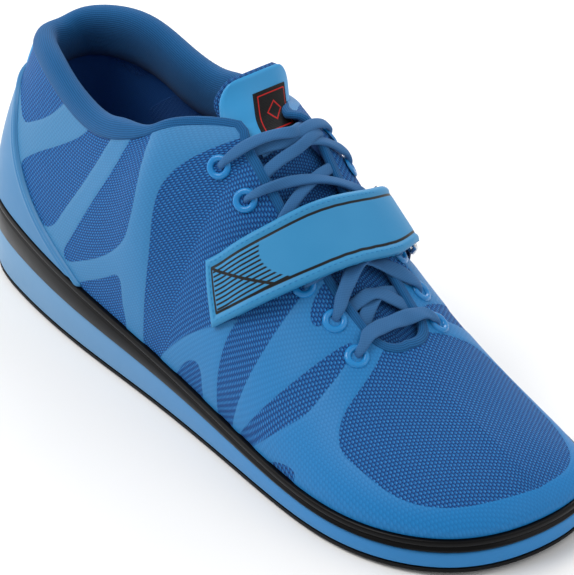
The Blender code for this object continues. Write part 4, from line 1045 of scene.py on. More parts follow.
@dataclass
class Workshop:
    """Turns grids of points into finished pieces of the shoe."""

    form: Form
    palette: Palette
    weld: float = 0.001
    stitch: float = 1.5
    stitch_gap: float = 0.8
    thread: tuple[float, float] = (0.5, 0.32)

    def finish(
        self,
        name: str,
        bm: bmesh.types.BMesh,
        look: str,
        nodes: Sequence[str] = (),
        sharp: float = 60.0,
    ) -> bpy.types.Object:
        """Make a riding object of a bmesh in millimetres.

        Args:
            name: The piece's name.
            bm: The shape, which is freed.
            look: The palette's field for its finish.
            nodes: The CAD nodes that it stands for.
            sharp: The angle in degrees past which an edge is left sharp.

        Returns:
            The finished object.
        """
        bmesh.ops.remove_doubles(bm, verts=bm.verts, dist=self.weld)
        bmesh.ops.recalc_face_normals(bm, faces=bm.faces)
        if bm.calc_volume(signed=True) < 0:
            bmesh.ops.reverse_faces(bm, faces=bm.faces)
        bmesh.ops.translate(bm, vec=-self.form.centre, verts=bm.verts)
        bmesh.ops.scale(bm, vec=(MM, MM, MM), verts=bm.verts)
        mesh = bpy.data.meshes.new(name)
        bm.to_mesh(mesh)
        faces = len(bm.faces)
        bm.free()
        mesh.shade_smooth()
        mesh.set_sharp_from_angle(angle=math.radians(sharp))
        mesh.materials.append(self.palette.get(look))
        piece = bpy.data.objects.new(name, mesh)
        bpy.context.scene.collection.objects.link(piece)
        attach(piece, BODY)
        if nodes:
            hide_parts(*nodes)
        log.info("%s: %d faces", name, faces)
        return piece

    def grid(
        self,
        outer: Array,
        inner: Optional[Array] = None,
        weave: Optional[Array] = None,
        masks: Optional[dict[str, Array]] = None,
    ) -> bmesh.types.BMesh:
        """A grid of faces placed at an array of points, closed by a second array where one is given.

        Args:
            outer: Points, rows by columns by 3.
            inner: Matching points of the far side.
            weave: Matching places on the cloth in millimetres, for its pattern.
            masks: Matching numbers to keep on the mesh.

        Returns:
            The bmesh, whose attribute inside is 1 on the far side.
        """
        rows, columns = outer.shape[:2]
        bm = bmesh.new()
        bmesh.ops.create_grid(bm, x_segments=columns - 1, y_segments=rows - 1, size=1)
        bm.verts.ensure_lookup_table()
        bm.verts.index_update()
        pattern = bm.loops.layers.uv.new("weave")
        for key in masks or {}:
            bm.verts.layers.float.new(key)
        if inner is not None and "inside" not in (masks or {}):
            bm.verts.layers.float.new("inside")
        depth = bm.verts.layers.float_vector.new("depth")
        layers = [(bm.verts.layers.float[key], values) for key, values in (masks or {}).items()]
        for vert in bm.verts:
            row, column = divmod(vert.index, columns)
            vert.co = outer[row, column]
            if inner is not None:
                vert[depth] = inner[row, column]
            for layer, values in layers:
                vert[layer] = values[row, column]
        if weave is not None:
            for face in bm.faces:
                for loop in face.loops:
                    loop[pattern].uv = weave[divmod(loop.vert.index, columns)]
        if inner is not None:
            bmesh.ops.remove_doubles(bm, verts=bm.verts, dist=self.weld)
            far = bm.verts.layers.float["inside"]
            made = bmesh.ops.extrude_face_region(bm, geom=list(bm.faces), use_keep_orig=True)
            for part in made["geom"]:
                if isinstance(part, bmesh.types.BMVert):
                    part.co = part[depth]
                    part[far] = 1.0
        bm.verts.layers.float_vector.remove(depth)
        return bm

    def tube(self, rings: Array, closed: bool, inside: Optional[Array] = None) -> bmesh.types.BMesh:
        """A tube of matching rings, with its cloth's places worked out.

        Args:
            rings: Points, rings by points by 3.
            closed: Whether the last ring joins the first, or both ends are capped.
            inside: How far each point of a ring counts as the inner side.

        Returns:
            The bmesh.
        """
        loop = wrapped(rings, rows=closed)
        weave = np.stack(cloth_places(loop, loop.mean(axis=1)), axis=-1)
        masks = None
        if inside is not None:
            masks = {"inside": np.broadcast_to(np.append(inside, inside[0]), loop.shape[:2])}
        bm = self.grid(loop, weave=weave, masks=masks)
        if not closed:
            bmesh.ops.remove_doubles(bm, verts=bm.verts, dist=self.weld)
            bmesh.ops.holes_fill(bm, edges=[edge for edge in bm.edges if edge.is_boundary], sides=0)
        return bm

    def turned(
        self, section: Sequence[tuple[float, float]], centre: Array, axis: Array, sides: int
    ) -> bmesh.types.BMesh:
        """A closed profile of (radius, height) spun about an axis."""
        bm = bmesh.new()
        verts = [bm.verts.new((radius, 0, height)) for radius, height in section]
        edges = [bm.edges.new((a, b)) for a, b in zip(verts, verts[1:] + verts[:1])]
        around = {"cent": (0, 0, 0), "axis": (0, 0, 1), "angle": 2 * math.pi}
        bmesh.ops.spin(bm, geom=verts + edges, steps=sides, use_merge=True, **around)
        turn = Vector((0, 0, 1)).rotation_difference(Vector(axis)).to_matrix().to_4x4()
        bmesh.ops.transform(bm, matrix=Matrix.Translation(Vector(centre)) @ turn, verts=bm.verts)
        return bm

    def stitches(self, name: str, line: Array, outward: Array) -> None:
        """A row of short raised stitches along a line.

        Args:
            name: The piece's name.
            line: Points of the line.
            outward: Matching directions out of the cloth.
        """
        run = lengths_along(line)
        bm = bmesh.new()
        for start in np.arange(self.stitch_gap, run[-1] - self.stitch, self.stitch + self.stitch_gap):
            first, last = read_line(np.array([start, start + self.stitch]), run, line)
            out = unit(read_line(start, run, outward))
            along = Vector(last - first).normalized()
            side = along.cross(Vector(out)).normalized()
            basis = Matrix((along, side, Vector(out))).transposed().to_4x4()
            size = Matrix.Diagonal((self.stitch, *self.thread, 1))
            place = Matrix.Translation(Vector((first + last) / 2)) @ basis @ size
            bmesh.ops.create_icosphere(bm, subdivisions=1, radius=0.5, matrix=place)
        self.finish(name, bm, "thread")


@dataclass
class Sole:
    """Outsole, wedge midsole, black band and insole."""

    shop: Workshop
    inset: float = 0.7
    outsole: float = 2.3
    gap: float = 0.3
    insole: float = 4.0
    wall: float = 2.0
    rungs: int = 6
    slices: int = 96
    crowding: float = 0.35

    def slab(
        self,
        name: str,
        profile: Profile,
        look: str,
        inset: Optional[Callable[[Side, Array], Array]] = None,
        sharp: float = 50.0,
    ) -> None:
        """A sole layer: one ring at each station, up the outer side, across, down the inner side and back.

        Args:
            name: The piece's and the node's name.
            profile: Bottom to top: how far out of the outline, the height's function, and an extra height.
            look: Its finish.
            inset: How far in the layer lies, by side and station.
            sharp: The angle past which its edges stay sharp.
        """
        form = self.shop.form
        even = np.linspace(0, 1, self.slices + 1)
        s = (1 - np.cos(even * math.pi)) / 2 * self.crowding + even * (1 - self.crowding)
        sides = {}
        for side in Side:
            extra = inset(side, s) if inset else 0.0
            levels = []
            for out, height, lift in profile:
                flat = form.edge(side, s, out + extra)
                levels.append(np.c_[flat, height(flat[:, 1]) + lift])
            sides[side] = np.stack(levels, axis=1)

        def across(first: Array, last: Array, level: tuple) -> Array:
            """Points across the top or the bottom between the two sides."""
            share = np.linspace(0, 1, self.rungs + 2)[1:-1, None]
            rows = first[:, None, :] + share[None] * (last - first)[:, None, :]
            flat = rows.reshape(-1, 3)
            flat[:, 2] = level[1](flat[:, 1]) + level[2]
            return flat.reshape(rows.shape)

        lateral, medial = sides[Side.LATERAL], sides[Side.MEDIAL][:, ::-1]
        top = across(lateral[:, -1], medial[:, 0], profile[-1])
        bottom = across(medial[:, -1], lateral[:, 0], profile[0])
        rings = np.concatenate([lateral, top, medial, bottom], axis=1)
        layer = self.shop.grid(wrapped(rings, rows=False))
        self.shop.finish(name + "_dressed", layer, look, (name,), sharp)

    def insole_inset(self, side: Side, s: Array) -> Array:
        """How far in the insole's rim lies, which follows the lean of the wall beside it."""
        form = self.shop.form
        points = form.surface(side, s[None, :], np.linspace(0, 0.25, 26)[:, None])
        foot = points[0]
        outward = form.edge(side, s, 1.0) - form.edge(side, s, 0.0)
        lean = -((points[:, :, :2] - foot[None, :, :2]) * outward[None]).sum(axis=2)
        beside = points[:, :, 2] < foot[None, :, 2] + self.insole + 1.0
        deepest = np.where(beside, lean, 0).max(axis=0)
        return -form.feather_inset - (self.wall + self.gap) * 1.25 - deepest

    def build(self) -> None:
        """Make the four layers."""
        floor, low, top = self.shop.form.spring, self.shop.form.band_bottom, self.shop.form.band_top
        base = self.outsole + self.gap
        self.slab(
            "outsole",
            (
                (-self.inset - 1.3, floor, 0.0),
                (-self.inset - 0.35, floor, 0.45),
                (-self.inset, floor, 1.1),
                (-self.inset, floor, self.outsole),
            ),
            "rubber",
        )
        self.slab(
            "midsole",
            (
                (-self.inset - 0.5, floor, base),
                (-self.inset - 0.1, floor, base + 0.35),
                (-self.inset + 0.1, floor, base + 0.9),
                (-self.inset - 0.1, low, -self.gap - 1.2),
                (-self.inset - 0.25, low, -self.gap - 0.5),
                (-self.inset - 0.8, low, -self.gap),
            ),
            "foam",
        )
        turns = np.linspace(2.6, 0.15, 7)
        bead = [(-0.75 + 0.85 * math.sin(a), top, -1.35 + 1.35 * math.cos(a)) for a in turns]
        groove = [(-0.15, top, -3.9), (-0.65, top, -3.55), (-0.95, top, -3.0)]
        foot = [(-0.9, low, 0.0), (-0.35, low, 0.25), (-0.1, low, 0.8), (0.0, top, -4.4)]
        self.slab(
            "sole_band",
            foot + groove + bead + [(-1.6, top, 0.0)],
            "band",
            sharp=75.0,
        )
        self.slab(
            "insole",
            (
                (0.0, top, self.gap),
                (0.0, top, self.gap + self.insole - 1.0),
                (-0.4, top, self.gap + self.insole - 0.3),
                (-1.0, top, self.gap + self.insole),
            ),
            "lining",
            self.insole_inset,
        )


@dataclass
class Upper:
    """The hollow mesh upper with its fused film, and the heel's counter and tab."""

    shop: Workshop
    wall: float = 2.0
    slices: int = 190
    rows: int = 56
    film_height: float = 0.32
    heel_bend: float = 0.15
    forefoot: tuple[float, float] = (165.0, 215.0)
    window_size: tuple[float, float] = (300.0, 72.0)

    def weave(self, side: Side, s: Array, v: Array, points: Array) -> Array:
        """Places on the unrolled cloth: along the shoe, and across it from the ridge or the collar down."""
        form = self.shop.form
        fine = np.linspace(1, 0, 60)
        lines = form.surface(side, s[None, :], fine[:, None])
        step = np.diff(lines, axis=0)
        keep_y = 1 - smoothstep(self.heel_bend / 3, self.heel_bend, s)
        length = np.sqrt(step[..., 0] ** 2 + step[..., 2] ** 2 + keep_y * step[..., 1] ** 2)
        run = np.concatenate([np.zeros((1, len(s))), np.cumsum(length, axis=0)])
        down = np.stack([np.interp(1 - v[:, k], 1 - fine, run[:, k]) for k in range(len(s))], axis=1)
        bend = self.heel_bend
        start = form.surface(side, np.full(len(v), bend), v.mean(axis=1))[:, 1]
        around = start[:, None] - (bend - s[None, :]) * form.length
        along = np.where(s[None, :] > bend, points[..., 1], around)
        crest = form.ridge(np.linspace(0, 1, 200))
        order = np.argsort(crest[:, 1])
        sideways = points[..., 0] - np.interp(points[..., 1], crest[order, 1], crest[order, 0])
        fall = points[..., 2] - np.interp(points[..., 1], crest[order, 1], crest[order, 2])
        chord = sideways * np.hypot(1.0, fall / (np.abs(sideways) + 9.0))
        ahead = smoothstep(*self.forefoot, points[..., 1])
        return np.stack([along, (1 - ahead) * down * int(side) + ahead * chord], axis=-1)

    def film_depth(self, side: Side, s: Array, v: Array) -> Array:
        """How far each place lies inside the film, negative over bare mesh."""
        scale = np.array(self.window_size)
        places = np.stack(np.broadcast_arrays(s[None, :], v), axis=-1) * scale
        windows = QUARTER_WINDOWS + (VAMP_WINDOW[side],)
        bare = [depth_inside(places, softened(window, scale)) for window in windows]
        return -np.max(bare, axis=0)

    def half(self, side: Side) -> tuple[Array, Array, Array, Array]:
        """One side's outer points, inner points, cloth places and film depth."""
        form = self.shop.form
        s = form.stations(self.slices)
        share = np.linspace(0, 1, self.rows + 1)[:, None]
        v = share - (1 - form.opening(side, s)[None, :]) * share**2.5
        base = form.surface(side, s[None, :], v)
        normal = form.normal(side, np.broadcast_to(s[None, :], v.shape), v)
        film = self.film_depth(side, s, v)
        lift = self.film_height * smoothstep(-0.5, 0.5, film)
        level = normal.copy()
        low = smoothstep(3.0, 0.0, base[..., 2] - form.band_top(base[..., 1].ravel()).reshape(v.shape))
        level[..., 2] *= 1 - low
        inner = base - self.wall * unit(level)
        return base + lift[..., None] * normal, inner, self.weave(side, s, v, base), film

    def build(self) -> None:
        """Make the upper, its counter and its tab."""
        halves = {side: self.half(side) for side in Side}
        joined = [
            np.concatenate([medial[:, :0:-1], lateral], axis=1)
            for medial, lateral in zip(halves[Side.MEDIAL], halves[Side.LATERAL])
        ]
        outer, inner, weave, film = joined
        bm = self.shop.grid(outer, inner, weave, {"film": film})
        self.shop.finish("upper_cloth", bm, "cloth", ("upper", "toe_guard"))
        self.counter()
        self.tab()

    def around_heel(self, s: Array, rise: Array, out: Array) -> Array:
        """Points around the heel, from the medial end to the lateral one."""
        form = self.shop.form
        medial = form.at(Side.MEDIAL, np.broadcast_to(s[None, :], rise.shape), rise, out)
        lateral = form.at(Side.LATERAL, np.broadcast_to(s[None, :], rise.shape), rise, out)
        return np.concatenate([medial[:, :0:-1], lateral], axis=1)

    def counter(self) -> None:
        """The heel counter, whose rim is a raised double line."""
        edge = np.array(COUNTER_EDGE)
        s = np.linspace(0, edge[-1, 0], 110)
        top = Spline(edge[:, 0], edge[:, 1])(s)[:, 0]
        share = 1 - (1 - np.linspace(0, 1, 56)) ** 1.7
        rise = 0.004 + (top[None, :] - 0.004) * share[:, None]
        scale = np.array(self.window_size)
        line = np.stack([s, top], axis=-1)
        outline = np.concatenate([line, [[edge[-1, 0], -0.2], [-0.2, -0.2], [-0.2, top[0]]]]) * scale
        places = np.stack(np.broadcast_arrays(s[None, :], rise), axis=-1) * scale
        depth = np.abs(depth_inside(places, outline))
        lift = 0.5 + 0.75 * smoothstep(0.0, 0.7, depth) + 0.55 * hump(depth, 1.5, 0.75)
        lift += 0.15 * hump(depth, 4.1, 0.6) - 0.30 * hump(depth, 3.1, 0.5)
        outer = self.around_heel(s, rise, lift)
        inner = self.around_heel(s, rise, np.full(rise.shape, 0.1))
        self.shop.finish("heel_counter_film", self.shop.grid(outer, inner), "counter", ("heel_counter",))

    def tab(self) -> None:
        """The small tab over the heel's seam, left plain, with a raised rim."""
        half, low, high = 0.036, 0.66, 0.95
        s = np.linspace(0, half, 14)
        x = s / half
        bottom = low + 0.035 * x**4
        top = high - 0.05 * x**4
        share = np.linspace(0, 1, 30)[:, None]
        rise = bottom[None, :] + (top - bottom)[None, :] * share
        rim = np.minimum(np.minimum(share, 1 - share) * 22.0, (1 - x)[None, :] * 10.5)
        lift = 1.75 + 0.75 * smoothstep(0, 0.8, rim) + 0.15 * hump(rim, 1.6, 0.5)
        outer = self.around_heel(s, rise, lift)
        inner = self.around_heel(s, rise, np.full(rise.shape, 0.6))
        self.shop.finish("heel_tab_film", self.shop.grid(outer, inner), "tab", ("heel_tab",))


@dataclass
class Collar:
    """The padded knit roll around the ankle, which narrows to a binding beside the throat."""

    shop: Workshop
    pad_ends: tuple[float, float] = (0.30, 0.40)
    slices: int = 150
    around: int = 44
    fill: float = 0.7

    def section(self, rows: Sequence[tuple[float, float]]) -> Array:
        """A smooth closed section through its points."""
        curve, place = ring_spline(np.array(rows))
        return curve(np.linspace(0, place[-1], self.around + 1)[:-1])

    def build(self) -> None:
        """Make the ring around the whole opening."""
        form = self.shop.form
        s = form.stations(self.slices)
        s = s[s <= form.throat_end + 1e-6]
        edge = {side: form.opening(side, s) for side in Side}
        sides = [Side.LATERAL] * len(s) + [Side.MEDIAL] * (len(s) - 2)
        station = np.concatenate([s, s[-2:0:-1]])
        top = np.concatenate([edge[Side.LATERAL], edge[Side.MEDIAL][-2:0:-1]])
        places = list(zip(sides, station, top))
        base = np.array([form.surface(side, a, b) for side, a, b in places])
        before = np.array([form.surface(side, a, b - 0.02) for side, a, b in places])
        before[len(s) - 1] = form.ridge(form.throat_end + 0.02)
        normal = np.array([form.normal(side, a, b) for side, a, b in places])
        length = np.linalg.norm(base - before, axis=1) / 0.02
        pad = smoothstep(0, 1, (self.pad_ends[1] - station) / (self.pad_ends[1] - self.pad_ends[0]))
        lines = []
        for thick, thin in zip(self.section(COLLAR_SECTION), self.section(BINDING_SECTION)):
            out = pad * thick[0] + (1 - pad) * thin[0]
            along = pad * thick[1] + (1 - pad) * thin[1]
            edge_line = base + out[:, None] * normal
            tangent = np.roll(edge_line, -2, axis=0) - np.roll(edge_line, 2, axis=0)
            past = unit(np.cross(normal, tangent))
            past *= np.sign(((base - before) * past).sum(axis=1))[:, None]
            line = edge_line + along[:, None] * past
            for i in np.nonzero((along < 0) & (pad > 0.02))[0]:
                lower = form.at(sides[i], station[i], top[i] + along[i] / length[i], out[i])
                line[i] = pad[i] * lower + (1 - pad[i]) * line[i]
            lines.append(line)
        rings = np.stack(lines, axis=1)
        puffed = 1 + 0.012 * np.sin(station * 61.0) * pad
        rings = base[:, None, :] + (rings - base[:, None, :]) * puffed[:, None, None]
        turn = np.arange(self.around) / self.around
        inside = 0.8 * smoothstep(0.50, 0.66, turn) * (1 - smoothstep(0.86, 0.94, turn))
        roll = self.shop.tube(rings, True, inside)
        piece = self.shop.finish("collar_roll", roll, "collar", ("collar",))


@dataclass(frozen=True)
class Patch:
    """A thin shell on the tongue's face.

    Attributes:
        name: The piece's name.
        look: Its finish.
        nodes: The CAD nodes that it stands for.
        places: Its lowest and highest place along the tongue.
        low: Its medial and lateral edge at the bottom, in millimetres.
        high: The same at the top.
        lift: Height of its underside over the tongue.
        thick: Its thickness.
        margin: Width of its rounded rim.
        corner: How much its top corners are rounded.
    """

    name: str
    look: str
    nodes: tuple[str, ...]
    places: tuple[float, float]
    low: tuple[float, float]
    high: tuple[float, float]
    lift: float
    thick: float
    margin: float
    corner: float


@dataclass
class Tongue:
    """The padded mesh tongue, its smooth top tab, and the label on it."""

    shop: Workshop
    clearance: float = 2.9
    across: int = 26
    along: int = 90
    fill: float = 0.6
    patch_grid: tuple[int, int] = (44, 40)
    arched: tuple[float, float] = (0.07, -0.03)

    def row(self, place: float, want: Array, out: float, radius: float, shift: float) -> Array:
        """Points across the tongue at one place on the ridge, from the medial edge to the lateral one."""
        form = self.shop.form
        above = max(0.0, -place) * 100
        s = form.ridge_start + max(place, 0.0) * (1 - form.ridge_start)
        steps = np.linspace(1, 0.3, 71)
        followed = np.empty((len(want), 3))
        for side in Side:
            run = lengths_along(form.surface(side, np.full(len(steps), s), steps))
            line = form.at(side, np.full(len(steps), s), steps, out)
            mine = want * int(side) >= 0
            followed[mine] = read_line(want[mine] * int(side), run, line)
        ahead = form.ridge(np.array([max(place, 0.0), max(place, 0.0) + 0.02]))
        rise = unit(ahead[0] - ahead[1])
        sideways = np.array([1.0, 0.0, 0.0])
        outward = np.cross(rise, sideways)
        outward *= np.sign(outward[2])
        turn = want / radius
        centre = ahead[0] + above * rise + out * outward + shift * sideways
        arc = centre + radius * (np.sin(turn)[:, None] * sideways - (1 - np.cos(turn))[:, None] * outward)
        followed += above * rise + shift * sideways
        blend = smoothstep(*self.arched, place)
        return (1 - blend) * followed + blend * arc

    def sizes(self, places: Array) -> Array:
        """The table's rows at given places along the ridge."""
        table = np.array(TONGUE)
        order = np.interp(-places, -table[:, 0], np.arange(len(table)))
        return Spline(np.arange(len(table)), table)(order)

    def body(self) -> None:
        """The tongue as one closed pad with rounded sides and a rounded top."""
        start, end = TONGUE[0][0], TONGUE[-1][0]
        places = np.linspace(start, end, self.along)
        around = np.linspace(0, 2 * math.pi, 2 * self.across + 1)[:-1]
        rings = []
        for place, (_, half, thick, radius, sink, shift) in zip(places, self.sizes(places)):
            to_end = min(place - end, start - place) * 100
            squeeze = math.sqrt(max(0.0, 1 - (1 - min(to_end / 2.2, 1.0)) ** 2))
            cos, sin = np.cos(around), np.sin(around)
            side = np.sign(cos) * np.abs(cos) ** 0.55 * half
            deep = thick / 2 * (1 - np.sign(sin) * np.abs(sin) ** 0.8 * max(squeeze, 0.08))
            out = -self.clearance - sink
            outer = self.row(place, side, out, radius, shift)
            narrowed = side * (1 - thick / radius * smoothstep(*self.arched, place))
            inner = self.row(place, narrowed, out - thick, radius - thick, shift)
            share = (deep / thick)[:, None]
            rings.append(outer * (1 - share) + inner * share)
        bm = self.shop.tube(np.array(rings), False)
        piece = self.shop.finish("tongue_pad", bm, "tongue", ("tongue",))

    def patch(self, patch: Patch) -> None:
        """Lay a patch on the tongue's face, and keep the distance from its rim on the mesh."""
        rows, columns = self.patch_grid
        places = np.linspace(*patch.places, rows)
        under, over, weave, rims = [], [], [], []
        height = (patch.places[0] - patch.places[1]) * 100
        low, high = np.array(patch.low), np.array(patch.high)
        for k, (place, (_, _, _, radius, sink, shift)) in enumerate(zip(places, self.sizes(places))):
            share = k / (rows - 1)
            left, right = low + (high - low) * share
            from_top = (1 - share) * height
            if from_top < patch.corner:
                cut = patch.corner - math.sqrt(patch.corner**2 - (patch.corner - from_top) ** 2)
                left, right = left + cut, right - cut
            want = np.linspace(left, right, columns)
            rim = np.minimum(np.minimum(want - left, right - want), min(share, 1 - share) * height)
            out = -self.clearance - sink
            raised = patch.lift + patch.thick * smoothstep(0, patch.margin, rim)
            base = self.row(place, want, out + patch.lift * 0.3, radius + patch.lift * 0.3, shift)
            normal = self.row(place, want, out + 1.0, radius + 1.0, shift)
            normal -= self.row(place, want, out, radius, shift)
            under.append(base)
            over.append(base + unit(normal) * raised[:, None])
            weave.append(np.stack([want - want[0], np.full(columns, share * height)], axis=-1))
            rims.append(rim)
        bm = self.shop.grid(np.array(over), np.array(under), np.array(weave), {"rim": np.array(rims)})
        self.shop.finish(patch.name, bm, patch.look, patch.nodes)

    def build(self) -> None:
        """Make the tongue, its tab and its label."""
        self.body()
        top = TONGUE[-1][0] + 0.012
        self.patch(
            Patch("tongue_tab", "tab", (), (0.0, top), (-19.0, 18.0), (-18.4, 17.6), 0.25, 0.75, 1.0, 8.0)
        )
        ends = (-13.5, 4.5)
        label = Patch(
            "label_patch", "label", ("tongue_label",), (-0.02, -0.19), ends, ends, 0.9, 0.5, 0.4, 0.0
        )
        self.patch(label)


@dataclass
class Lacing:
    """Twelve ring eyelets and the flat lace that runs through them."""

    shop: Workshop
    sides: int = 40
    width: float = 6.2
    thickness: float = 1.7
    around: int = 16
    strap_station: float = 0.60
    narrowed: float = 0.74
    smoothing: int = 12
    through: float = 300.0
    beside: float = 75.0

    def eyelets(self) -> None:
        """The moulded rings, each with a rounded flange and a barrel through the wall."""
        form = self.shop.form
        turns = np.linspace(0, math.pi, 9)
        flange = [(3.45 + 1.3 * math.cos(a), 0.25 + 1.05 * math.sin(a)) for a in turns]
        section = [(2.1, -1.9), (2.6, -1.9), (2.6, 0.1)] + flange
        for number, (s_lateral, v_lateral, s_medial, v_medial) in enumerate(EYELETS, 1):
            for side, s, v in ((Side.LATERAL, s_lateral, v_lateral), (Side.MEDIAL, s_medial, v_medial)):
                name = f"{side.name.lower()}_{number}"
                middle, axis = form.surface(side, s, v), form.normal(side, s, v)
                bm = self.shop.turned(section, middle, axis, self.sides)
                self.shop.finish("ring_" + name, bm, "plastic", ("eyelet_" + name,))

    def ribbon(self, route: Sequence[tuple[float, ...]], steps: int = 56) -> bmesh.types.BMesh:
        """A flat lace through (station, rise over both sides, height, width share)."""
        form = self.shop.form
        rows = curve_through(route, steps)
        line = form.over(rows[:, 0], rows[:, 1], rows[:, 2])
        for _ in range(self.smoothing):
            line[1:-1] = line[:-2] * 0.25 + line[1:-1] * 0.5 + line[2:] * 0.25
        outward = unit(form.over(rows[:, 0], rows[:, 1], rows[:, 2] + 1.0) - line)
        for _ in range(3):
            outward[1:-1] = unit(outward[:-2] + outward[1:-1] * 2 + outward[2:])
        chord = unit(line[-1] - line[0])
        across = unit(np.cross(np.broadcast_to(chord, outward.shape), outward))
        tangent = unit(np.gradient(line, axis=0))
        lift = unit(np.cross(across, tangent))
        share = np.clip(rows[:, 3], 0.45, 1.0)
        angle = np.linspace(0, 2 * math.pi, self.around + 1)[:-1]
        cos = np.sign(np.cos(angle)) * np.abs(np.cos(angle)) ** 0.6
        sin = np.sign(np.sin(angle)) * np.abs(np.sin(angle)) ** 0.8
        half = self.width / 2 * share[:, None, None]
        thick = self.thickness / 2 * (0.9 + 0.9 * (1 - share))[:, None, None]
        wide, tall = half * cos[None, :, None], thick * sin[None, :, None]
        return self.shop.tube(line[:, None] + wide * across[:, None] + tall * lift[:, None], False)

    def end(self, place: tuple[float, float], other: tuple[float, float], reach: Reach, level: float) -> list:
        """Route rows from an eyelet or a tuck towards the middle of the throat."""
        s, w = place
        ahead = (other[0] - s, other[1] - w)
        far = math.hypot(ahead[0] * self.through, ahead[1] * self.beside)

        def toward(length: float) -> tuple[float, float]:
            """The place some millimetres on towards the other end."""
            return s + ahead[0] * length / far, w + ahead[1] * length / far

        if reach is Reach.OVER:
            return [
                (*toward(-0.4), -3.4, 0.5),
                (*toward(0.2), -0.9, 0.5),
                (*toward(1.6), 1.7, 0.6),
                (*toward(4.6), 2.35, 0.9),
                (*toward(9.0), level + 1.3, 1.0),
            ]
        return [(*toward(0.0), -2.6, 0.9), (*toward(5.0), -2.4, 1.0), (*toward(11.0), level - 0.9, 1.0)]

    def lace(self) -> None:
        """The lace's visible lengths, from the toe's end of the throat to its top.

        Each run has its two ends, how it reaches them, its height and, where it sags, how far to the toe.
        """
        lateral = [(row[0], row[1]) for row in EYELETS]
        medial = [(row[2], 2 - row[3]) for row in EYELETS]
        under_lateral = (0.474, 0.84)
        under_medial = (0.482, 1.16)
        over, under = Reach.OVER, Reach.UNDER
        runs = (
            (lateral[5], over, medial[5], over, 0.4, 0.02),
            (lateral[5], under, medial[4], under, -1.2),
            (medial[5], under, lateral[4], under, -0.2),
            (medial[4], over, lateral[3], over, 0.5),
            (lateral[4], over, medial[3], over, 1.7),
            (lateral[3], under, medial[2], under, -1.2),
            (medial[3], under, lateral[2], under, -0.4),
            (lateral[2], over, medial[1], under, 0.2),
            (medial[2], over, lateral[1], over, 1.5),
            (medial[1], over, lateral[0], under, 0.0),
            (lateral[1], under, medial[0], under, 1.2),
            (medial[0], over, under_lateral, under, 0.4),
            (lateral[0], over, under_medial, under, 1.7),
        )
        whole = bmesh.new()
        for first, first_reach, last, last_reach, level, *ahead in runs:
            middle = ((first[0] + last[0]) / 2 + sum(ahead), (first[1] + last[1]) / 2, level, 1.0)
            route = self.end(first, last, first_reach, level) + [middle]
            route += self.end(last, first, last_reach, level)[::-1]
            wide = 1.0 if min(first[0], last[0]) > self.strap_station else self.narrowed
            length = self.ribbon([(*row[:3], row[3] * wide) for row in route])
            part = bpy.data.meshes.new("length")
            length.to_mesh(part)
            length.free()
            whole.from_mesh(part)
            bpy.data.meshes.remove(part)
        self.shop.finish("lace_lengths", whole, "lace", ("laces",), 80.0)

    def build(self) -> None:
        """Make the eyelets and the lace."""
        self.eyelets()
        self.lace()


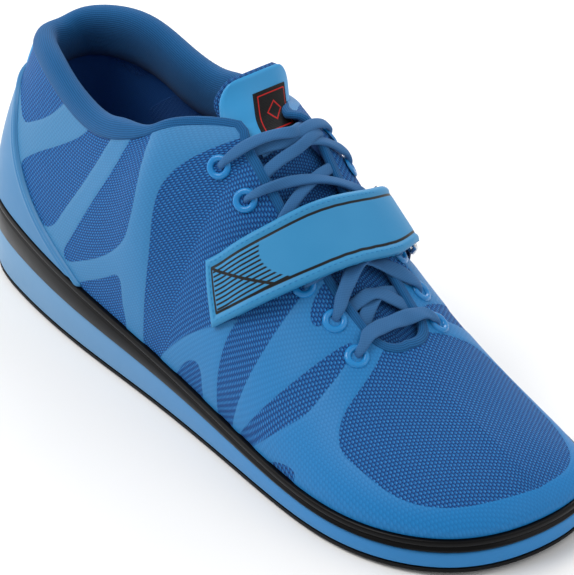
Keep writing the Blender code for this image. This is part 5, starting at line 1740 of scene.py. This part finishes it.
@dataclass
class Strap:
    """The wide strap over the laces, the ring it turns around, and the loop that holds the ring."""

    shop: Workshop
    top: float = 1.5
    under: float = 1.0
    wire: float = 1.0
    gap: float = 0.3
    loop: float = 0.8
    centres: tuple[float, float] = (5.6, 2.9)
    under_end: float = 0.14
    overhang: float = 0.05
    columns: int = 56
    course_grid: tuple[int, int] = (241, 13)
    course_ends: tuple[float, float] = (-0.1, 1.4)
    evening: float = 0.11
    probe: float = 6.0
    bend: float = 1.9
    stitch_inset: float = 1.9
    ring_places: tuple[float, float] = (1.0, 1.1)
    loop_ends: tuple[float, float] = (1.28, 1.16)
    loop_seat: float = 0.5

    def __post_init__(self) -> None:
        """Fit the strap's course, and even it out where it crosses the throat."""
        table = np.array(STRAP)
        self.course = Spline(table[:, 0], table[:, 1:])
        rows, columns = self.course_grid
        place, x = np.meshgrid(
            np.linspace(*self.course_ends, rows), np.linspace(0, 1, columns), indexing="ij"
        )
        spread = self.evening * smoothstep(0.0, 0.22, place) * (1 - smoothstep(1.05, 1.25, place))
        shares = ((-1.0, 0.12), (-0.5, 0.22), (0.0, 0.32), (0.5, 0.22), (1.0, 0.12))
        low, high = (
            sum(share * self.laid(place + shift * spread, x, height) for shift, share in shares)
            for height in (0.0, self.probe)
        )
        self.base, self.rise = low, (high - low) / self.probe

    def point(self, place: Array, x: Array, out: Array) -> Array:
        """Points of the strap: place along it, x across it from its top edge (0) to its low edge (1)."""
        place, x, out = np.broadcast_arrays(*(np.asarray(value, float) for value in (place, x, out)))
        rows, columns = self.course_grid
        start, end = self.course_ends
        down, side = (place - start) / (end - start) * (rows - 1), x * (columns - 1)
        i = np.clip(np.floor(down).astype(int), 0, rows - 2)
        j = np.clip(np.floor(side).astype(int), 0, columns - 2)
        a, b = (down - i)[..., None], (side - j)[..., None]

        def between(grid: Array) -> Array:
            """The grid's value at each place."""
            near = (1 - b) * grid[i, j] + b * grid[i, j + 1]
            far = (1 - b) * grid[i + 1, j] + b * grid[i + 1, j + 1]
            return (1 - a) * near + a * far

        return between(self.base) + out[..., None] * between(self.rise)

    def laid(self, place: Array, x: Array, out: Array) -> Array:
        """Points over the upper, with x across the strap from its top edge (0) to its low edge (1)."""
        form = self.shop.form
        row = self.course(place.ravel()).reshape(place.shape + (6,))
        top_s, top_w, low_s, low_w = (row[..., k] for k in range(4))
        followed = form.over(top_s + (low_s - top_s) * x, top_w + (low_w - top_w) * x, out)
        first = form.over(top_s, top_w, out)
        straight = first + (form.over(low_s, low_w, out) - first) * x[..., None]
        blend = np.clip((place - 0.8) / 0.15, 0, 1) * np.clip((1.3 - place) / 0.1, 0, 1)
        return (1 - blend[..., None]) * followed + blend[..., None] * straight

    def heights(self, place: Array) -> tuple[Array, Array]:
        """Heights of the under layer and of the top layer."""
        table = np.array(STRAP)
        return tuple(np.interp(place, table[:, 0], table[:, k]) for k in (5, 6))

    def turn(self, place: float, x: Array, centre: float, radius: Array, angle: float) -> Array:
        """Points around a bar that lies across the strap at a place."""
        middle = self.point(place, x, centre)
        out = unit(self.point(place, x, centre + 1.0) - middle)
        along = self.point(place + 0.02, x, centre) - self.point(place - 0.02, x, centre)
        along = unit(along - out * (along * out).sum(axis=-1, keepdims=True))
        spoke = math.cos(angle) * along + math.sin(angle) * out
        return middle + np.asarray(radius)[..., None] * spoke

    def band(self, x: Array, top_run: Array) -> tuple[list, list]:
        """Outer and inner rows of the strap: the top layer, the turn at the ring, and the under layer."""
        outer, inner = [], []
        for place in top_run:
            height = self.heights(place)[1]
            outer.append(self.point(place, x, height + self.top))
            inner.append(self.point(place, x, height))
        bar = self.wire + self.gap
        for share in np.linspace(0, 1, 15)[1:]:
            angle = math.pi / 2 - math.pi * share
            thick = self.top + (self.under - self.top) * share
            outer.append(self.turn(1.0, x, self.centres[0], np.full(len(x), bar + thick), angle))
            inner.append(self.turn(1.0, x, self.centres[0], np.full(len(x), bar), angle))
        for place in np.linspace(0.94, self.under_end, 50):
            height = self.heights(place)[0]
            outer.append(self.point(place, x, height))
            inner.append(self.point(place, x, height + self.under))
        return outer, inner

    def build(self) -> None:
        """Make the strap, its stitches, the ring and the loop."""
        x = np.linspace(0, 1, self.columns)
        top_run = np.concatenate([np.linspace(0, 0.94, 120), [0.97, 1.0]])
        outer, inner = (np.array(rows) for rows in self.band(x, top_run))
        count = len(top_run)
        along, across = cloth_places(outer, outer[:, self.columns // 2])
        side = np.minimum(across, across[:, -1:] - across)
        rim = np.minimum(side, along)
        normal = unit(outer - inner)
        face = (np.arange(len(outer)) < count)[:, None]
        round_edge = -0.55 * (1 - smoothstep(0.0, 0.9, rim))
        panel = 0.42 * hump(rim, 1.9, 1.25) - 0.22 * hump(rim, 3.6, 0.45) + 0.12 * smoothstep(3.9, 5.4, rim)
        lift = np.where(face, round_edge + panel, -0.2 * (1 - smoothstep(0.0, 0.9, side)))
        raised = outer + lift[..., None] * normal
        masks = {"rim": np.where(face, rim, 2.0)}
        bm = self.shop.grid(raised, inner, np.stack([along, across], axis=-1), masks)
        self.shop.finish("strap_band", bm, "strap", ("strap",))
        self.sew(raised[:count], normal[:count])
        self.ring()
        self.ring_loop()

    def sew(self, face: Array, normal: Array) -> None:
        """The stitches on the strap's raised rim."""
        width = self.columns - 1
        top = max(1, round(self.stitch_inset / 26.0 * width))
        row = int(np.searchsorted(np.linalg.norm(face[:, 1] - face[0, 1], axis=-1), self.stitch_inset))
        run = slice(row, face.shape[0] - 12)
        seams = {"top": (run, top), "low": (run, -1 - top), "end": (row, slice(top, width - top))}
        for name, part in seams.items():
            self.shop.stitches("strap_stitches_" + name, face[part], normal[part])

    def ring(self) -> None:
        """The metal ring: a rounded oblong of wire."""
        corners = [
            self.point(place, x, centre)
            for place, centre in zip(self.ring_places, self.centres)
            for x in (-self.overhang, 1 + self.overhang)
        ]
        loop = [corners[k] for k in (0, 1, 3, 2)]
        path = []
        for i, here in enumerate(loop):
            before, after = loop[i - 1], loop[(i + 1) % 4]
            first = here + unit(before - here) * self.bend
            last = here + unit(after - here) * self.bend
            for share in np.linspace(0, 1, 9):
                path.append((1 - share) ** 2 * first + 2 * share * (1 - share) * here + share**2 * last)
        path = np.array(path)
        tangent = unit(np.roll(path, -1, axis=0) - np.roll(path, 1, axis=0))
        flat = unit(np.cross(loop[1] - loop[0], loop[3] - loop[0]))
        side = unit(np.cross(tangent, flat))
        angle = np.linspace(0, 2 * math.pi, 21)[:-1]
        spokes = np.cos(angle)[None, :, None] * side[:, None] + np.sin(angle)[None, :, None] * flat
        bm = self.shop.tube(path[:, None] + self.wire * spokes, True)
        self.shop.finish("ring_wire", bm, "steel", ("strap_ring",), 80.0)

    def ring_loop(self) -> None:
        """The webbing that holds the ring to the upper's inner side."""
        x = np.linspace(0.06, 0.94, 30)
        bar = self.wire + self.gap
        outer, inner = [], []
        for place in np.linspace(*self.loop_ends, 10):
            outer.append(self.point(place, x, self.loop_seat))
            inner.append(self.point(place, x, self.loop_seat + self.loop))
        for share in np.linspace(0, 1, 15):
            angle = -math.pi / 2 - math.pi * share
            for rows, radius in ((outer, bar + self.loop), (inner, bar)):
                rows.append(
                    self.turn(self.ring_places[1], x, self.centres[1], np.full(len(x), radius), angle)
                )
        for place in np.linspace(*self.loop_ends[::-1], 10):
            base = self.loop_seat + self.loop + self.gap + (self.loop_ends[0] - place) * 12
            outer.append(self.point(place, x, base + self.loop))
            inner.append(self.point(place, x, base))
        outer, inner = np.array(outer), np.array(inner)
        weave = np.stack(cloth_places(outer, outer[:, len(x) // 2]), axis=-1)
        self.shop.finish("ring_loop_web", self.shop.grid(outer, inner, weave), "webbing", ("ring_loop",))


@dataclass
class Studio:
    """Camera, soft lights, pale floor and sky."""

    form: Form
    azimuth: float = 139.7
    elevation: float = 33.1
    roll: float = 0.26
    distance: float = 1150.0
    focal: float = 2.617
    centre: tuple[float, float] = (270.4, 283.6)
    frame_size: tuple[int, int] = (574, 575)
    target: tuple[float, float, float] = (0.0, 150.0, 45.0)
    sensor: float = 36.0
    floor_tone: Colour = (0.92, 0.92, 0.92)
    sky_strength: float = 0.55

    def axes(self) -> tuple[Vector, Vector, Vector]:
        """Directions to the right, up and back towards the camera."""
        a, e, r = (math.radians(x) for x in (self.azimuth, self.elevation, self.roll))
        back = Vector((math.sin(a) * math.cos(e), -math.cos(a) * math.cos(e), math.sin(e)))
        right = Vector((math.cos(a), math.sin(a), 0))
        up = back.cross(right)
        return right * math.cos(r) + up * math.sin(r), up * math.cos(r) - right * math.sin(r), back

    def camera(self) -> None:
        """The camera at the photograph's angle."""
        right, up, back = self.axes()
        data = bpy.data.cameras.new("camera")
        camera = bpy.data.objects.new("camera", data)
        bpy.context.scene.collection.objects.link(camera)
        pose = Matrix((right, up, back)).transposed().to_4x4()
        pose.translation = (Vector(self.target) - self.form.centre + back * self.distance) * MM
        camera.matrix_world = pose
        width, height = self.frame_size
        longest = max(width, height)
        data.sensor_width = self.sensor
        data.lens = self.focal * self.distance / longest * self.sensor
        data.shift_x = -(self.centre[0] - width / 2) / longest
        data.shift_y = (self.centre[1] - height / 2) / longest
        bpy.context.scene.camera = camera

    def light(self, name: str, place: Sequence[float], size: float, power: float, colour: Colour) -> None:
        """A square area light, facing the shoe, placed by (right, up, back) of the camera in metres."""
        right, up, back = self.axes()
        data = bpy.data.lights.new(name, "AREA")
        data.size = size
        data.energy = power
        data.color = colour
        lamp = bpy.data.objects.new(name, data)
        bpy.context.scene.collection.objects.link(lamp)
        middle = Vector((0, 0, self.target[2] * MM))
        spot = middle + right * place[0] + up * place[1] + back * place[2]
        spot.z = max(spot.z, 0.3)
        aim = (spot - middle).to_track_quat("Z", "Y")
        lamp.matrix_world = Matrix.LocRotScale(spot, aim, None)

    def floor(self) -> None:
        """A wide pale floor just under the outsole."""
        bm = bmesh.new()
        bmesh.ops.create_grid(bm, x_segments=1, y_segments=1, size=6.0)
        mesh = bpy.data.meshes.new("floor")
        bm.to_mesh(mesh)
        bm.free()
        graph = Graph("pale_floor")
        pale = graph.dress(base_color=self.floor_tone, roughness=0.9, specular_ior_level=0.2)
        mesh.materials.append(pale)
        floor = bpy.data.objects.new("floor", mesh)
        bpy.context.scene.collection.objects.link(floor)

    def build(self) -> None:
        """Set the studio up."""
        self.camera()
        self.floor()
        self.light("key", (-0.8, 1.1, 0.9), 0.9, 14.0, (1.0, 0.99, 0.97))
        self.light("side", (-1.3, 0.25, -0.5), 1.2, 9.0, (0.97, 0.98, 1.0))
        self.light("fill", (1.3, 0.6, 0.9), 1.4, 6.0, (0.98, 0.99, 1.0))
        self.light("back", (0.3, 1.5, -0.7), 1.0, 12.0, (1.0, 1.0, 1.0))
        world = bpy.data.worlds.new("sky")
        bpy.context.scene.world = world
        world.use_nodes = True
        sky = world.node_tree.nodes["Background"]
        sky.inputs["Color"].default_value = (1.0, 1.0, 1.0, 1.0)
        sky.inputs["Strength"].default_value = self.sky_strength
        bpy.context.scene.view_settings.view_transform = "Standard"


def main() -> None:
    """Build the shoe piece by piece, then the studio."""
    logging.basicConfig(level=logging.INFO, format="%(name)s %(message)s")
    form = Form()
    shop = Workshop(form, Palette())
    for assembly in (Sole(shop), Upper(shop), Collar(shop), Tongue(shop), Lacing(shop), Strap(shop)):
        log.info("building %s", type(assembly).__name__)
        assembly.build()
    Studio(form).build()


if __name__ == "__main__":
    main()
